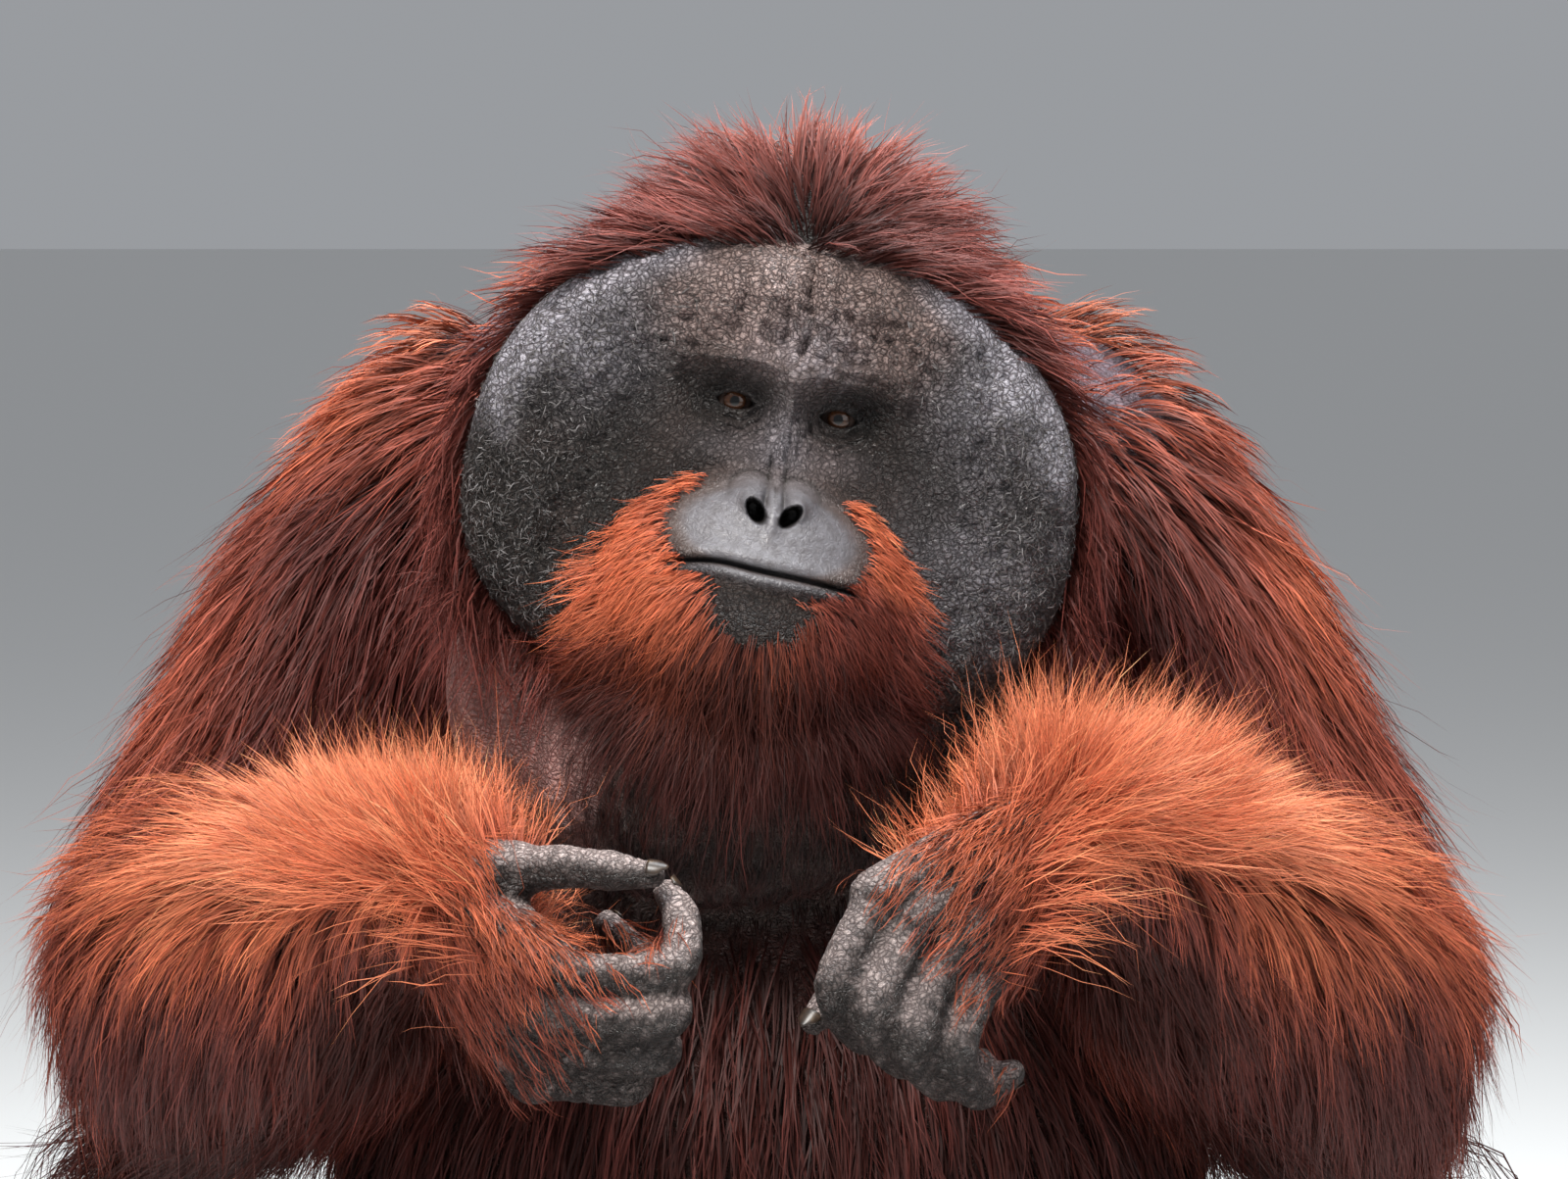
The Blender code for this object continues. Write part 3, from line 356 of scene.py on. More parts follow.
def add_globe(bm, centre, radii, sides=32, turn=None):
    """A ball with those three half sizes."""
    rings = sides * 2 // 3
    turned = turn.to_4x4() if turn else Matrix.Identity(4)
    matrix = Matrix.Translation(centre) @ turned @ Matrix.Diagonal((*radii, 1.0))
    top = bm.verts.new(matrix @ Vector((0.0, 0.0, 1.0)))
    bottom = bm.verts.new(matrix @ Vector((0.0, 0.0, -1.0)))
    rows = []
    for ring in range(1, rings):
        turn_down = math.pi * ring / rings
        out, up = math.sin(turn_down), math.cos(turn_down)
        angles = (math.tau * side / sides for side in range(sides))
        rows.append([bm.verts.new(matrix @ Vector((out * math.cos(a), out * math.sin(a), up))) for a in angles])
    for i in range(sides):
        j = (i + 1) % sides
        bm.faces.new((top, rows[0][i], rows[0][j]))
        for near, far in zip(rows, rows[1:]):
            bm.faces.new((near[i], far[i], far[j], near[j]))
        bm.faces.new((rows[-1][i], bottom, rows[-1][j]))


def add_chain(bm, points, radii):
    """A limb of many balls, so close that they fuse into one tapered length."""
    points = [Vector(point) for point in points]
    for i in range(len(points) - 1):
        reach = (points[i + 1] - points[i]).length
        steps = max(2, math.ceil(reach / (min(radii[i], radii[i + 1]) * BALL_SPACING)))
        for step in range(steps + (i == len(points) - 2)):
            share = step / steps
            radius = radii[i] + (radii[i + 1] - radii[i]) * share
            add_globe(bm, points[i].lerp(points[i + 1], share), (radius,) * 3, 20)


def fuse(name, bm, voxel, smoothing):
    """One closed surface round all the balls."""
    obj = object_of(name, bm)
    remesh = obj.modifiers.new("Remesh", "REMESH")
    remesh.mode = "VOXEL"
    remesh.voxel_size = voxel
    soften = obj.modifiers.new("Smooth", "SMOOTH")
    soften.factor = 0.5
    soften.iterations = smoothing
    return apply_modifiers(obj)


def between(start, end, shares):
    return [Vector(start).lerp(Vector(end), share) for share in shares]


def on_side(side, point):
    """A point of the left side, or its mirror image on the right."""
    return point if side == "left" else (-point[0], point[1], point[2])


def leg_joints(side):
    return [on_side(side, point) for point in (HIP, KNEE, ANKLE)]


def toes_of(side):
    """The knots of each toe, from its root to its tip."""
    toes = {name: [(x, y, up) for x, y in TOE_PATH] for name, up in TOE_UP.items()}
    toes["big_toe"] = BIG_TOE
    return {name: [Vector(on_side(side, knot)) for knot in path] for name, path in toes.items()}


def catmull(before, start, end, after, share):
    return 0.5 * (
        2 * start
        + (end - before) * share
        + (2 * before - 5 * start + 4 * end - after) * share**2
        + (3 * start - before - 3 * end + after) * share**3
    )


def digit_path(points, radii, steps=6):
    """Places and radii along a finger or toe, a little fuller at its joints than between them."""
    knots = [Vector(point) for point in points]
    path = []
    for span in range(len(knots) - 1):
        before, after = knots[max(span - 1, 0)], knots[min(span + 2, len(knots) - 1)]
        for step in range(steps + (span == len(knots) - 2)):
            share = step / steps
            radius = radii[span] + (radii[span + 1] - radii[span]) * share
            waist = 1.0 - 0.07 * math.sin(math.pi * share)
            path.append((catmull(before, knots[span], knots[span + 1], after, share), radius * waist))
    return path


def make_body():
    """Trunk, neck, skull and limbs as one soft mass."""
    bm = bmesh.new()
    masses = [(Vector(centre), Vector(radii)) for centre, radii in TRUNK]
    for (low, low_radii), (high, high_radii) in zip(masses, masses[1:]):
        for share in (0.0, 0.2, 0.4, 0.6, 0.8):
            add_globe(bm, low.lerp(high, share), low_radii.lerp(high_radii, share))
    add_globe(bm, *masses[-1])
    for side in ("right", "left"):
        across = SHOULDER[side][0]
        add_globe(bm, (across * 0.80, 0.085, 0.678), (0.085, 0.065, 0.080))
        add_globe(bm, (across * 0.45, 0.085, 0.725), (0.080, 0.060, 0.076))
        shares = (0.0, 0.33, 0.66, 1.0)
        add_chain(bm, between(SHOULDER[side], ELBOW[side], shares), UPPER_ARM_RADII)
        fore = between(ELBOW[side], WRIST[side], shares)
        add_chain(bm, fore, FOREARM_RADII)
        add_chain(bm, [p + FOREARM_HANGS for p in fore[:3]], [r * 0.85 for r in FOREARM_RADII[:3]])
        hip, knee, ankle = leg_joints(side)
        add_chain(bm, between(hip, knee, shares), THIGH_RADII)
        add_chain(bm, between(knee, ankle, shares), SHIN_RADII)
    add_chain(bm, ((0.0, 0.070, 0.660), (0.006, -0.060, 0.665)), (0.100, 0.090))
    for centre, radii in SKULL:
        add_globe(bm, head_matrix() @ Vector(centre), radii, turn=head_matrix().to_3x3())
    return fuse("body", bm, BODY_VOXEL, 9)


def make_throat():
    """The throat pouch, with the folds that its weight draws in it."""
    bm = bmesh.new()
    for centre, radii in THROAT:
        add_globe(bm, centre, radii, 48)
    throat = fuse("throat", bm, THROAT_VOXEL, 24)
    points, normals = points_of(throat), normals_of(throat)
    stretched = points * (1.0, 1.0, 0.22)
    fold = 0.0028 * np.clip(waves(stretched, 0.030, 41), -1.0, 0.35)
    crease = points * (0.25, 0.5, 1.0)
    fold += 0.0011 * waves(crease, 0.012, 42) * smooth(0.52, 0.46, points[:, 2])
    points += normals * fold[:, None]
    move_points(throat, points)
    return throat


def make_hand(side):
    bm = bmesh.new()
    wrist = Vector(WRIST[side])
    elbow = Vector(ELBOW[side])
    add_chain(bm, (wrist.lerp(elbow, 0.12), wrist), (0.034, 0.031))
    for name, points in DIGITS[side].items():
        knuckle, next_joint = Vector(points[0]), Vector(points[1])
        end = knuckle + (next_joint - knuckle).normalized() * 0.004
        add_chain(bm, (wrist, wrist.lerp(knuckle, 0.55), end), (0.0285, 0.0240, 0.0172))
        for place, radius in digit_path(points, THUMB_RADII if name == "thumb" else DIGIT_RADII):
            add_globe(bm, place, (radius,) * 3, 18)
    hand = fuse(f"hand_skin_{side}", bm, HAND_VOXEL, 3)
    return wrinkled(hand, WRINKLE_DEPTH)


def make_foot(side):
    bm = bmesh.new()
    for path, radii in FOOT_LENGTHS:
        add_chain(bm, [on_side(side, point) for point in path], radii)
    for name, points in toes_of(side).items():
        for place, radius in digit_path(points, BIG_TOE_RADII if name == "big_toe" else TOE_RADII):
            add_globe(bm, place, (radius,) * 3, 18)
    foot = fuse(f"foot_skin_{side}", bm, FOOT_VOXEL, 2)
    return wrinkled(foot, WRINKLE_DEPTH)


def wrinkled(obj, depth):
    """Soft creases all over a hand or foot."""
    points, normals = points_of(obj), normals_of(obj)
    crease = np.minimum(np.abs(waves(points, 0.012, 51)), np.abs(waves(points, 0.009, 52)))
    points -= normals * (depth * smooth(0.25, 0.0, crease))[:, None]
    move_points(obj, points)
    return obj


def make_ear(side):
    bm = bmesh.new()
    turn = Euler((math.radians(-12), 0.0, math.radians(-18 * side))).to_matrix()
    add_globe(bm, (0.0, 0.0, 0.0), (1.0, 1.0, 1.0), 48)
    for vertex in bm.verts:
        x, y, z = vertex.co
        cup = 0.85 * math.exp(-((y / 0.52) ** 2) - ((z - 0.05) / 0.62) ** 2) * (1.0 if x * side > 0 else 0.0)
        vertex.co = Vector((x * (1.0 - cup), y, z * (1.0 + 0.12 * max(z, 0.0))))
    matrix = head_matrix() @ Matrix.Translation((side * EAR_AT[0], EAR_AT[1], EAR_AT[2])) @ turn.to_4x4()
    bmesh.ops.transform(bm, matrix=matrix @ Matrix.Diagonal((0.0085, 0.0150, 0.0205, 1.0)), verts=bm.verts[:])
    return object_of("ear_skin", bm)


# ---------------------------------------------------------------- the face


def dome(reach):
    """A rounded rise that runs out into a soft skirt."""
    inner = clamp(1.0 - reach**2) ** 0.62
    return np.where(reach < 0.85, inner, 0.4517 * np.exp(-3.8 * np.maximum(reach - 0.85, 0.0)))


def disc_radius(angle):
    across, up = np.cos(angle), np.sin(angle)
    height = np.where(up > 0, DISC_UP, DISC_DOWN)
    power = np.where(up > 0, 2.2, 2.6)
    radius = (np.abs(across / DISC_HALF_WIDTH) ** power + np.abs(up / height) ** power) ** (-1 / power)
    return radius * (1.0 - 0.05 * up)


def face_reach(x, z):
    return np.hypot(x, z - DISC_MIDDLE) / disc_radius(np.arctan2(z - DISC_MIDDLE, x))


def muzzle_reach(x, z):
    """0 in the middle of the muzzle, 1 at the fold where it meets the cheek pads."""
    return np.hypot(x / 0.085, (z + 0.072) / np.where(z > -0.072, 0.070, 0.064))


def nose_lobe(side, z):
    """1 along the edge of each lobe of the nose."""
    return np.hypot((side - 0.0135) / 0.0135, (z + 0.0150) / 0.0125)


def mouth_line(x):
    """Height of the line between the lips."""
    return MOUTH_UP + 0.003 * (1.0 - (x / MOUTH_HALF) ** 2) + 0.0022 * ridge(x + 0.028, 0.018)


def face_height(x, z):
    """How far the face stands forward of the disc's plane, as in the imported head."""
    side = np.abs(x)
    height = 0.021 + 0.013 * smooth(0.35, 0.80, face_reach(x, z))
    height += 0.013 * hump(x, z, 0.0, 0.098, 0.075, 0.042)
    height += 0.004 * hump(side, z, 0.023, 0.103, 0.019, 0.024) - 0.003 * hump(x, z, 0.0, 0.105, 0.005, 0.030)
    height += 0.011 * hump(side, z, 0.030, 0.059, 0.026, 0.011) + 0.009 * hump(x, z, 0.0, 0.054, 0.018, 0.013)
    height -= 0.015 * hump(side, z, 0.033, EYE_UP, 0.020, 0.015)
    height += 0.009 * hump(side, z, EYE_APART, EYE_UP, 0.0125, 0.0100)
    height += 0.010 * hump(x, z, 0.0, 0.026, 0.010, 0.030)
    height += 0.076 * dome(muzzle_reach(x, z))
    height += 0.006 * hump(x, z, 0.0, -0.108, 0.036, 0.018)
    return height


def nostril_shape(x, z):
    """1 in the middle of a nostril, 0 at its edge: a drop that leans inwards at its foot."""
    side = np.abs(x)
    lean = math.radians(52)
    across = (side - NOSTRIL_APART) * math.cos(lean) + (z - NOSTRIL_UP) * math.sin(lean)
    along = -(side - NOSTRIL_APART) * math.sin(lean) + (z - NOSTRIL_UP) * math.cos(lean)
    return 1.0 - np.hypot(across / 0.0092, along / 0.0054)


def lid_gap(x, z):
    """How far a place is inside the opening between the lids, in metres."""
    out = (np.abs(x) - EYE_APART) / LID_HALF
    arch = clamp(1.0 - out**2)
    upper = EYE_UP + LID_OVER * arch**0.8 - 0.0004
    lower = EYE_UP - LID_UNDER * arch**0.7 + 0.0004 * out
    gap = np.minimum(upper - z, z - lower)
    return np.where(np.abs(out) < 1.0, gap, -np.hypot(np.maximum(np.abs(out) - 1.0, 0.0) * LID_HALF, z - EYE_UP))


def face_folds(x, z):
    """The finer forms of the face: lids, nose, lips, creases and the pebbled cheek pads."""
    side = np.abs(x)
    spot = np.stack((x, z), axis=1)
    reach = face_reach(x, z)
    muzzle = muzzle_reach(x, z)
    rise = np.zeros_like(x)
    # Nose: two lobes with a ridge between them, and the nostrils
    rise += 0.0118 * hump(side, z, 0.0145, -0.0150, 0.0095, 0.0095)
    rise += 0.0060 * hump(x, z, 0.0, -0.0240, 0.0042, 0.0130)
    from_groove = side - 0.0050 - 0.10 * np.maximum(-0.012 - z, 0.0)
    rise -= 0.0058 * ridge(from_groove, 0.0016) * smooth(-0.032, -0.022, z) * smooth(0.008, -0.006, z)
    lobe = nose_lobe(side, z)
    rise -= 0.0022 * ridge(lobe - 1.0, 0.10) * smooth(-0.022, -0.010, z) * smooth(0.004, 0.010, side)
    rise += 0.0020 * hump(side, z, 0.0140, -0.0170, 0.0080, 0.0080)
    drop = nostril_shape(x, z)
    rise += 0.0022 * ridge(drop, 0.22) * (z > NOSTRIL_UP - 0.002)
    rise -= 0.0170 * smooth(-0.02, 0.42, drop)
    # Bridge of the nose and the creases that run down it
    bridge = smooth(0.050, 0.035, z) * smooth(-0.012, 0.004, z)
    rise += bridge * 0.0014 * waves(spot * (1.0, 0.35), 0.0052, 61) * smooth(0.024, 0.012, side)
    rise -= 0.0022 * bridge * ridge(side - 0.0045, 0.0016)
    # Lids
    gap = lid_gap(x, z)
    rise -= 0.0120 * smooth(-0.0003, 0.0010, gap)
    rise += 0.0013 * ridge(gap + 0.0014, 0.0012)
    near_eye = np.hypot(side - EYE_APART, (z - EYE_UP) * 1.15)
    over, under = z > EYE_UP, z <= EYE_UP
    rise -= 0.0018 * over * ridge(near_eye - 0.0125, 0.0012)
    for at, deep in EYE_RINGS:
        ring = near_eye + 0.0009 * waves(spot, 0.011, int(at * 1e4))
        rise -= deep * under * ridge(ring - at, 0.0013) * smooth(0.0, 0.006, EYE_UP - z)
    # Brow and forehead: one deep cleft, fainter ones beside it, and fine cross wrinkles
    forehead = smooth(0.058, 0.078, z)
    bend = 0.0020 * np.sin(z * 95.0)
    for at, deep, wide in BROW_CLEFTS:
        rise -= forehead * deep * ridge(x - at - bend, wide) * smooth(0.145, 0.115, z)
    brow = smooth(0.044, 0.056, z) * smooth(0.125, 0.085, z) * smooth(0.095, 0.055, side)
    rise += brow * 0.0009 * waves(spot * (0.30, 1.0), 0.0085, 62)
    rise += 0.0007 * brow * np.sin(z * math.tau / 0.0080 + 1.5 * np.sin(x * 60.0) + 8.0 * x)
    # Lips
    line = mouth_line(x)
    in_mouth = smooth(MOUTH_HALF + 0.004, MOUTH_HALF - 0.008, side)
    rise += in_mouth * 0.0046 * ridge(z - line - 0.0060, 0.0052)
    rise += in_mouth * 0.0040 * ridge(z - line + 0.0050, 0.0036)
    rise -= in_mouth * 0.0100 * ridge(z - line, 0.0014)
    rise -= in_mouth * 0.0020 * ridge(z - line + 0.0115, 0.0030)
    lip = in_mouth * ridge(z - line + 0.0050, 0.0040)
    rise += lip * 0.0006 * np.sin(x * math.tau / 0.0031 + 2.0 * np.sin(x * 300.0))
    rise -= 0.0030 * hump(side, z, MOUTH_HALF + 0.002, line, 0.0060, 0.0100)
    # The muzzle stands off the cheek pads in a fold, and the pads are pebbled and lumpy
    rise -= 0.0050 * ridge(muzzle - 1.04, 0.07) * smooth(0.020, 0.045, side)
    pad = smooth(0.40, 0.62, reach) * smooth(1.02, 1.18, muzzle)
    lumps = 0.0024 * waves(spot, 0.042, 63) + 0.0014 * waves(spot, 0.014, 64) + 0.0013 * waves(spot, 0.0066, 65)
    rise += pad * lumps
    rise += forehead * (0.0008 * waves(spot, 0.022, 66) + 0.0003 * waves(spot * (0.55, 1.0), 0.0075, 67))
    return rise


def make_face():
    """The cheek pads and face: rings round its middle, closer where the features are, closed at the back."""
    around = 280
    reaches = np.concatenate(
        (
            np.linspace(0.0, 0.10, 8)[1:],
            np.linspace(0.10, 0.54, 74)[1:],
            np.linspace(0.54, ROLL_START, 19)[1:],
            ROLL_START + (1.0 - ROLL_START) * np.sin(np.linspace(0.0, math.pi / 2, 14))[1:],
        )
    )
    back = np.cos(np.linspace(0.0, math.pi / 2, 9))[1:-1]
    angles = np.arange(around) * math.tau / around
    radius = disc_radius(angles)
    rings = [(reach, False) for reach in reaches] + [(reach, True) for reach in back]
    points = [(0.0, 0.0, DISC_MIDDLE)]
    for reach, behind in rings:
        x, z = reach * radius * np.cos(angles), DISC_MIDDLE + reach * radius * np.sin(angles)
        y = np.full(around, RIM_BACK + PAD_BACK * math.sqrt(1.0 - reach**2)) if behind else np.zeros(around)
        points += list(zip(x, y, z))
    points.append((0.0, RIM_BACK + PAD_BACK, DISC_MIDDLE))
    faces = [(0, 1 + (i + 1) % around, 1 + i) for i in range(around)]
    for ring in range(len(rings) - 1):
        near, far = 1 + ring * around, 1 + (ring + 1) * around
        faces += [(near + i, near + (i + 1) % around, far + (i + 1) % around, far + i) for i in range(around)]
    last = 1 + (len(rings) - 1) * around
    faces += [(last + i, last + (i + 1) % around, len(points) - 1) for i in range(around)]
    places = np.array(points)
    x, z = places[:, 0], places[:, 2]
    reach = face_reach(x, z)
    rolled = clamp((reach - ROLL_START) / (1.0 - ROLL_START))
    height = face_height(x, z) + face_folds(x, z) * smooth(1.0, 0.94, reach)
    front = len(reaches) * around + 1
    depth = -height + ROLL_DEPTH * (1.0 - np.sqrt(np.maximum(0.0, 1.0 - rolled**2)))
    places[:front, 1] = depth[:front]
    mesh = bpy.data.meshes.new("face")
    mesh.from_pydata(places.tolist(), [], faces)
    bm = bmesh.new()
    bm.from_mesh(mesh)
    if bm.calc_volume(signed=True) < 0.0:
        bmesh.ops.reverse_faces(bm, faces=bm.faces[:])
    bmesh.ops.transform(bm, matrix=head_matrix(), verts=bm.verts[:])
    return object_of("face", bm)


def make_skin():
    """All the flesh as one closed skin."""
    skin = make_body()
    others = [make_face(), make_throat(), make_ear(-1), make_ear(1)]
    others += [make_hand("right"), make_hand("left"), make_foot("right"), make_foot("left")]
    for other in others:
        boolean = skin.modifiers.new("Boolean", "BOOLEAN")
        boolean.operation = "UNION"
        boolean.solver = "MANIFOLD"
        boolean.object = other
        apply_modifiers(skin)
        bpy.data.objects.remove(other)
    points = points_of(skin)
    points[:, 2] = np.maximum(points[:, 2], 0.0005)
    move_points(skin, points)
    shade_smooth(skin)
    skin.data.polygons.foreach_set("material_index", np.zeros(len(skin.data.polygons), np.int32))
    skin.data.materials.clear()
    skin.name = skin.data.name = "skin"
    return skin


# ---------------------------------------------------------------- where a place on the skin belongs


def to_segment(points, start, end):
    """How far along a limb each point lies, from 0 to 1, and how far from its middle line."""
    start, end = np.array(start), np.array(end)
    along = end - start
    share = clamp(((points - start) @ along) / (along @ along))
    return share, np.linalg.norm(points - start - share[:, None] * along, axis=1)


def beyond(points, start, end, radii):
    """How far each point lies outside a tapered limb."""
    share, far = to_segment(points, start, end)
    return far - np.interp(share, np.linspace(0, 1, len(radii)), radii)


def beyond_mass(points, centre, radii):
    centre, radii = np.array(centre), np.array(radii)
    return (np.linalg.norm((points - centre) / radii, axis=1) - 1.0) * radii.min()


PARTS = (
    "trunk upper_arm_right upper_arm_left forearm_right forearm_left leg_right leg_left "
    "head hand_right hand_left foot_right foot_left throat"
).split()


def part_of(points):
    """The number in PARTS of the part that each point of the skin belongs to."""
    trunk = np.min([beyond_mass(points, *mass) for mass in TRUNK], axis=0)
    rows = {"trunk": trunk}
    for side in ("right", "left"):
        rows[f"upper_arm_{side}"] = beyond(points, SHOULDER[side], ELBOW[side], UPPER_ARM_RADII)
        fore = beyond(points, ELBOW[side], WRIST[side], FOREARM_RADII)
        low_start, low_end = (np.array(p) + np.array(FOREARM_HANGS) for p in (ELBOW[side], WRIST[side]))
        rows[f"forearm_{side}"] = np.minimum(fore, beyond(points, low_start, low_end, np.array(FOREARM_RADII) * 0.85))
        hip, knee, ankle = leg_joints(side)
        thigh, shin = beyond(points, hip, knee, THIGH_RADII), beyond(points, knee, ankle, SHIN_RADII)
        rows[f"leg_{side}"] = np.minimum(thigh, shin)
        hand = [beyond(points, a, b, DIGIT_RADII[:2]) for path in DIGITS[side].values() for a, b in zip(path, path[1:])]
        hand += [beyond(points, WRIST[side], path[0], (0.0285, 0.0172)) for path in DIGITS[side].values()]
        rows[f"hand_{side}"] = np.min(hand, axis=0)
        spans = [((0.140, -0.335, 0.070), (0.086, -0.450, up), (0.036, 0.018)) for up in (0.076, 0.048, 0.020)]
        spans += [((*TOE_PATH[0], up), (*TOE_PATH[2], up), TOE_RADII[:2]) for up in TOE_UP.values()]
        spans += [(BIG_TOE[0], BIG_TOE[3], BIG_TOE_RADII[:2])]
        foot = [beyond(points, on_side(side, a), on_side(side, b), radii) for a, b, radii in spans]
        rows[f"foot_{side}"] = np.min(foot, axis=0)
    local = to_head(points)
    skull = np.min([beyond_mass(local, *mass) for mass in SKULL], axis=0)
    on_disc = (face_reach(local[:, 0], local[:, 2]) < 1.04) & (local[:, 1] < PAD_BACK)
    rows["head"] = np.where(on_disc, -0.02, skull)
    rows["throat"] = np.min([beyond_mass(points, *mass) for mass in THROAT], axis=0) - 0.002
    return np.argmin([rows[name] for name in PARTS], axis=0)


def face_places(points):
    """Where points lie on the face: across, up, and whether they are on its front."""
    local = to_head(points)
    x, z = local[:, 0], local[:, 2]
    front = (face_reach(x, z) < 1.03) & (-local[:, 1] > face_height(x, z) - 0.045)
    return x, z, front & (local[:, 1] < 0.004)


# ---------------------------------------------------------------- tones of the skin


def glow(points, at, wide):
    """1 at one place of the skin, falling away around it."""
    return ridge(np.linalg.norm(points - np.array(at), axis=1), wide)


def bare_patches(points):
    """How strongly the bare patches of the left shoulder, right shoulder and left wrist show at each point."""
    return [glow(points, at, wide) for at, wide in zip((*SHOULDER_PATCHES, WRIST_PATCH), (0.052, 0.040, 0.026))]


def near_bare(points):
    """How close places are to the bare patches of the shoulders, where the coat is short."""
    return clamp(sum(glow(points, at, 0.085) for at in SHOULDER_PATCHES))


def skin_tones(points, normals, parts):
    """The skin's colours at each point: its own markings, with painted shade and painted highlights laid in."""
    blotch = waves(points, 0.050, 71)
    fine = waves(points, 0.008, 72)
    tones = np.tile(np.array(SKIN_UNDER_COAT), (len(points), 1))
    part = {name: parts == number for number, name in enumerate(PARTS)}
    # Face
    x, z, front = face_places(points)
    side, reach = np.abs(x), face_reach(x, z)
    muzzle = muzzle_reach(x, z)
    brow = smooth(0.045, 0.085, z) * smooth(0.110, 0.060, side)
    brow = clamp(brow + 0.20 * smooth(0.080, 0.030, side) * smooth(-0.03, 0.02, z))
    face = mix(SKIN_DARK, SKIN_BROWN, clamp(brow * (0.85 + 0.15 * blotch) + 0.06 * blotch))
    # Painted highlights: blue-grey on the upper rims of the cheek pads, on their upper outer parts, and on the lower
    # middle of the left pad (x above 0)
    rim = 0.85 * smooth(0.82, 0.95, reach) * smooth(-0.03, 0.05, z + 0.02 * blotch) * smooth(0.05, 0.09, side)
    face = mix(face, SKIN_BLUE_AND_HIGHLIGHT, rim)
    face = mix(face, SKIN_BLUE_AND_HIGHLIGHT, clamp(0.55 * hump(side, z, 0.122, 0.066, 0.034, 0.036) * (1 + 0.35 * blotch)))
    face = mix(face, SKIN_BLUE_AND_HIGHLIGHT, 0.26 * hump(x, z, 0.122, -0.045, 0.040, 0.050) * (1 + 0.3 * blotch))
    bridge = 0.32 * hump(x, z, 0.0, 0.018, 0.014, 0.022) + 0.10 * hump(side, z, 0.028, 0.010, 0.024, 0.010)
    face = mix(face, SKIN_BLUE_AND_HIGHLIGHT, bridge)
    face = mix(face, SKIN_BROWN, 0.18 * smooth(1.10, 1.0, muzzle))
    lip = smooth(1.0, 0.80, np.hypot(x / 0.056, (z + 0.038) / 0.027)) + hump(side, z, 0.012, -0.016, 0.015, 0.013)
    lip = clamp(lip) * smooth(mouth_line(x) - 0.001, mouth_line(x) + 0.002, z)
    face = mix(face, SKIN_LIP, clamp(lip * (0.92 + 0.08 * fine)))
    lower = smooth(MOUTH_HALF - 0.004, MOUTH_HALF - 0.020, side) * ridge(z - mouth_line(x) + 0.0050, 0.0040)
    # Painted shade under the lower lip
    chin = 0.6 * smooth(0.050, 0.030, side) * smooth(-0.068, -0.074, z) * smooth(-0.125, -0.100, z)
    face = mix(face, SKIN_PAINTED_SHADE, chin)
    face = mix(face, np.array(SKIN_LIP) * 0.8, 0.9 * lower)
    # Painted shade in the eye sockets, deepest at their outer sides
    socket = clamp(hump(side, z, EYE_APART + 0.004, EYE_UP + 0.003, 0.026, 0.017))
    face = mix(face, SKIN_PAINTED_SHADE, clamp(socket * 1.05))
    face = mix(face, SKIN_PAINTED_SHADE, 0.65 * hump(side, z, 0.050, EYE_UP + 0.004, 0.026, 0.013))
    # Painted highlight on the middle of the brow
    face = mix(face, SKIN_BLUE_AND_HIGHLIGHT, 0.38 * hump(x, z, 0.004, 0.074, 0.030, 0.018) * (1 + 0.4 * fine))
    # Pale brown on the right of the forehead (x below 0): partly the skin's own tone, partly painted highlight
    face = mix(face, SKIN_PALE_BROW_AND_HIGHLIGHT, 0.55 * hump(x, z, -0.030, 0.094, 0.055, 0.030) * (1 + 0.2 * blotch))
    # Painted shade in the grooves round the lobes of the nose and beside its bridge
    lobe = nose_lobe(side, z)
    groove = ridge(lobe - 1.0, 0.09) * smooth(-0.022, -0.012, z)
    groove += ridge(side - 0.0048, 0.0013) * smooth(-0.026, -0.018, z) * smooth(0.014, 0.002, z)
    face = mix(face, SKIN_DARK, clamp(0.60 * groove))
    # Painted shade: near black in the nostrils, along the line between the lips, and in the opening between the lids
    openings = smooth(-0.10, 0.30, nostril_shape(x, z))
    openings = openings + 0.8 * ridge(z - mouth_line(x), 0.0014) * (side < MOUTH_HALF)
    face = mix(face, SKIN_PAINTED_SHADE, openings)
    face = mix(face, SKIN_PAINTED_SHADE, smooth(-0.0006, 0.0004, lid_gap(x, z)))
    tones[front] = face[front]
    behind = part["head"] & ~front
    tones[behind] = mix(SKIN_UNDER_COAT, SKIN_DARK, smooth(0.75, 1.0, reach))[behind]
    # Throat: dark, with a pink grey fold at its right side
    throat = mix(SKIN_THROAT, SKIN_BROWN, clamp(0.18 + 0.15 * blotch))
    pink = smooth(-0.075, -0.120, points[:, 0]) * smooth(0.40, 0.50, points[:, 2])
    throat = mix(throat, SKIN_PINK, clamp(pink * (0.85 + 0.25 * waves(points * (1, 1, 0.3), 0.02, 73))))
    tones[part["throat"]] = throat[part["throat"]]
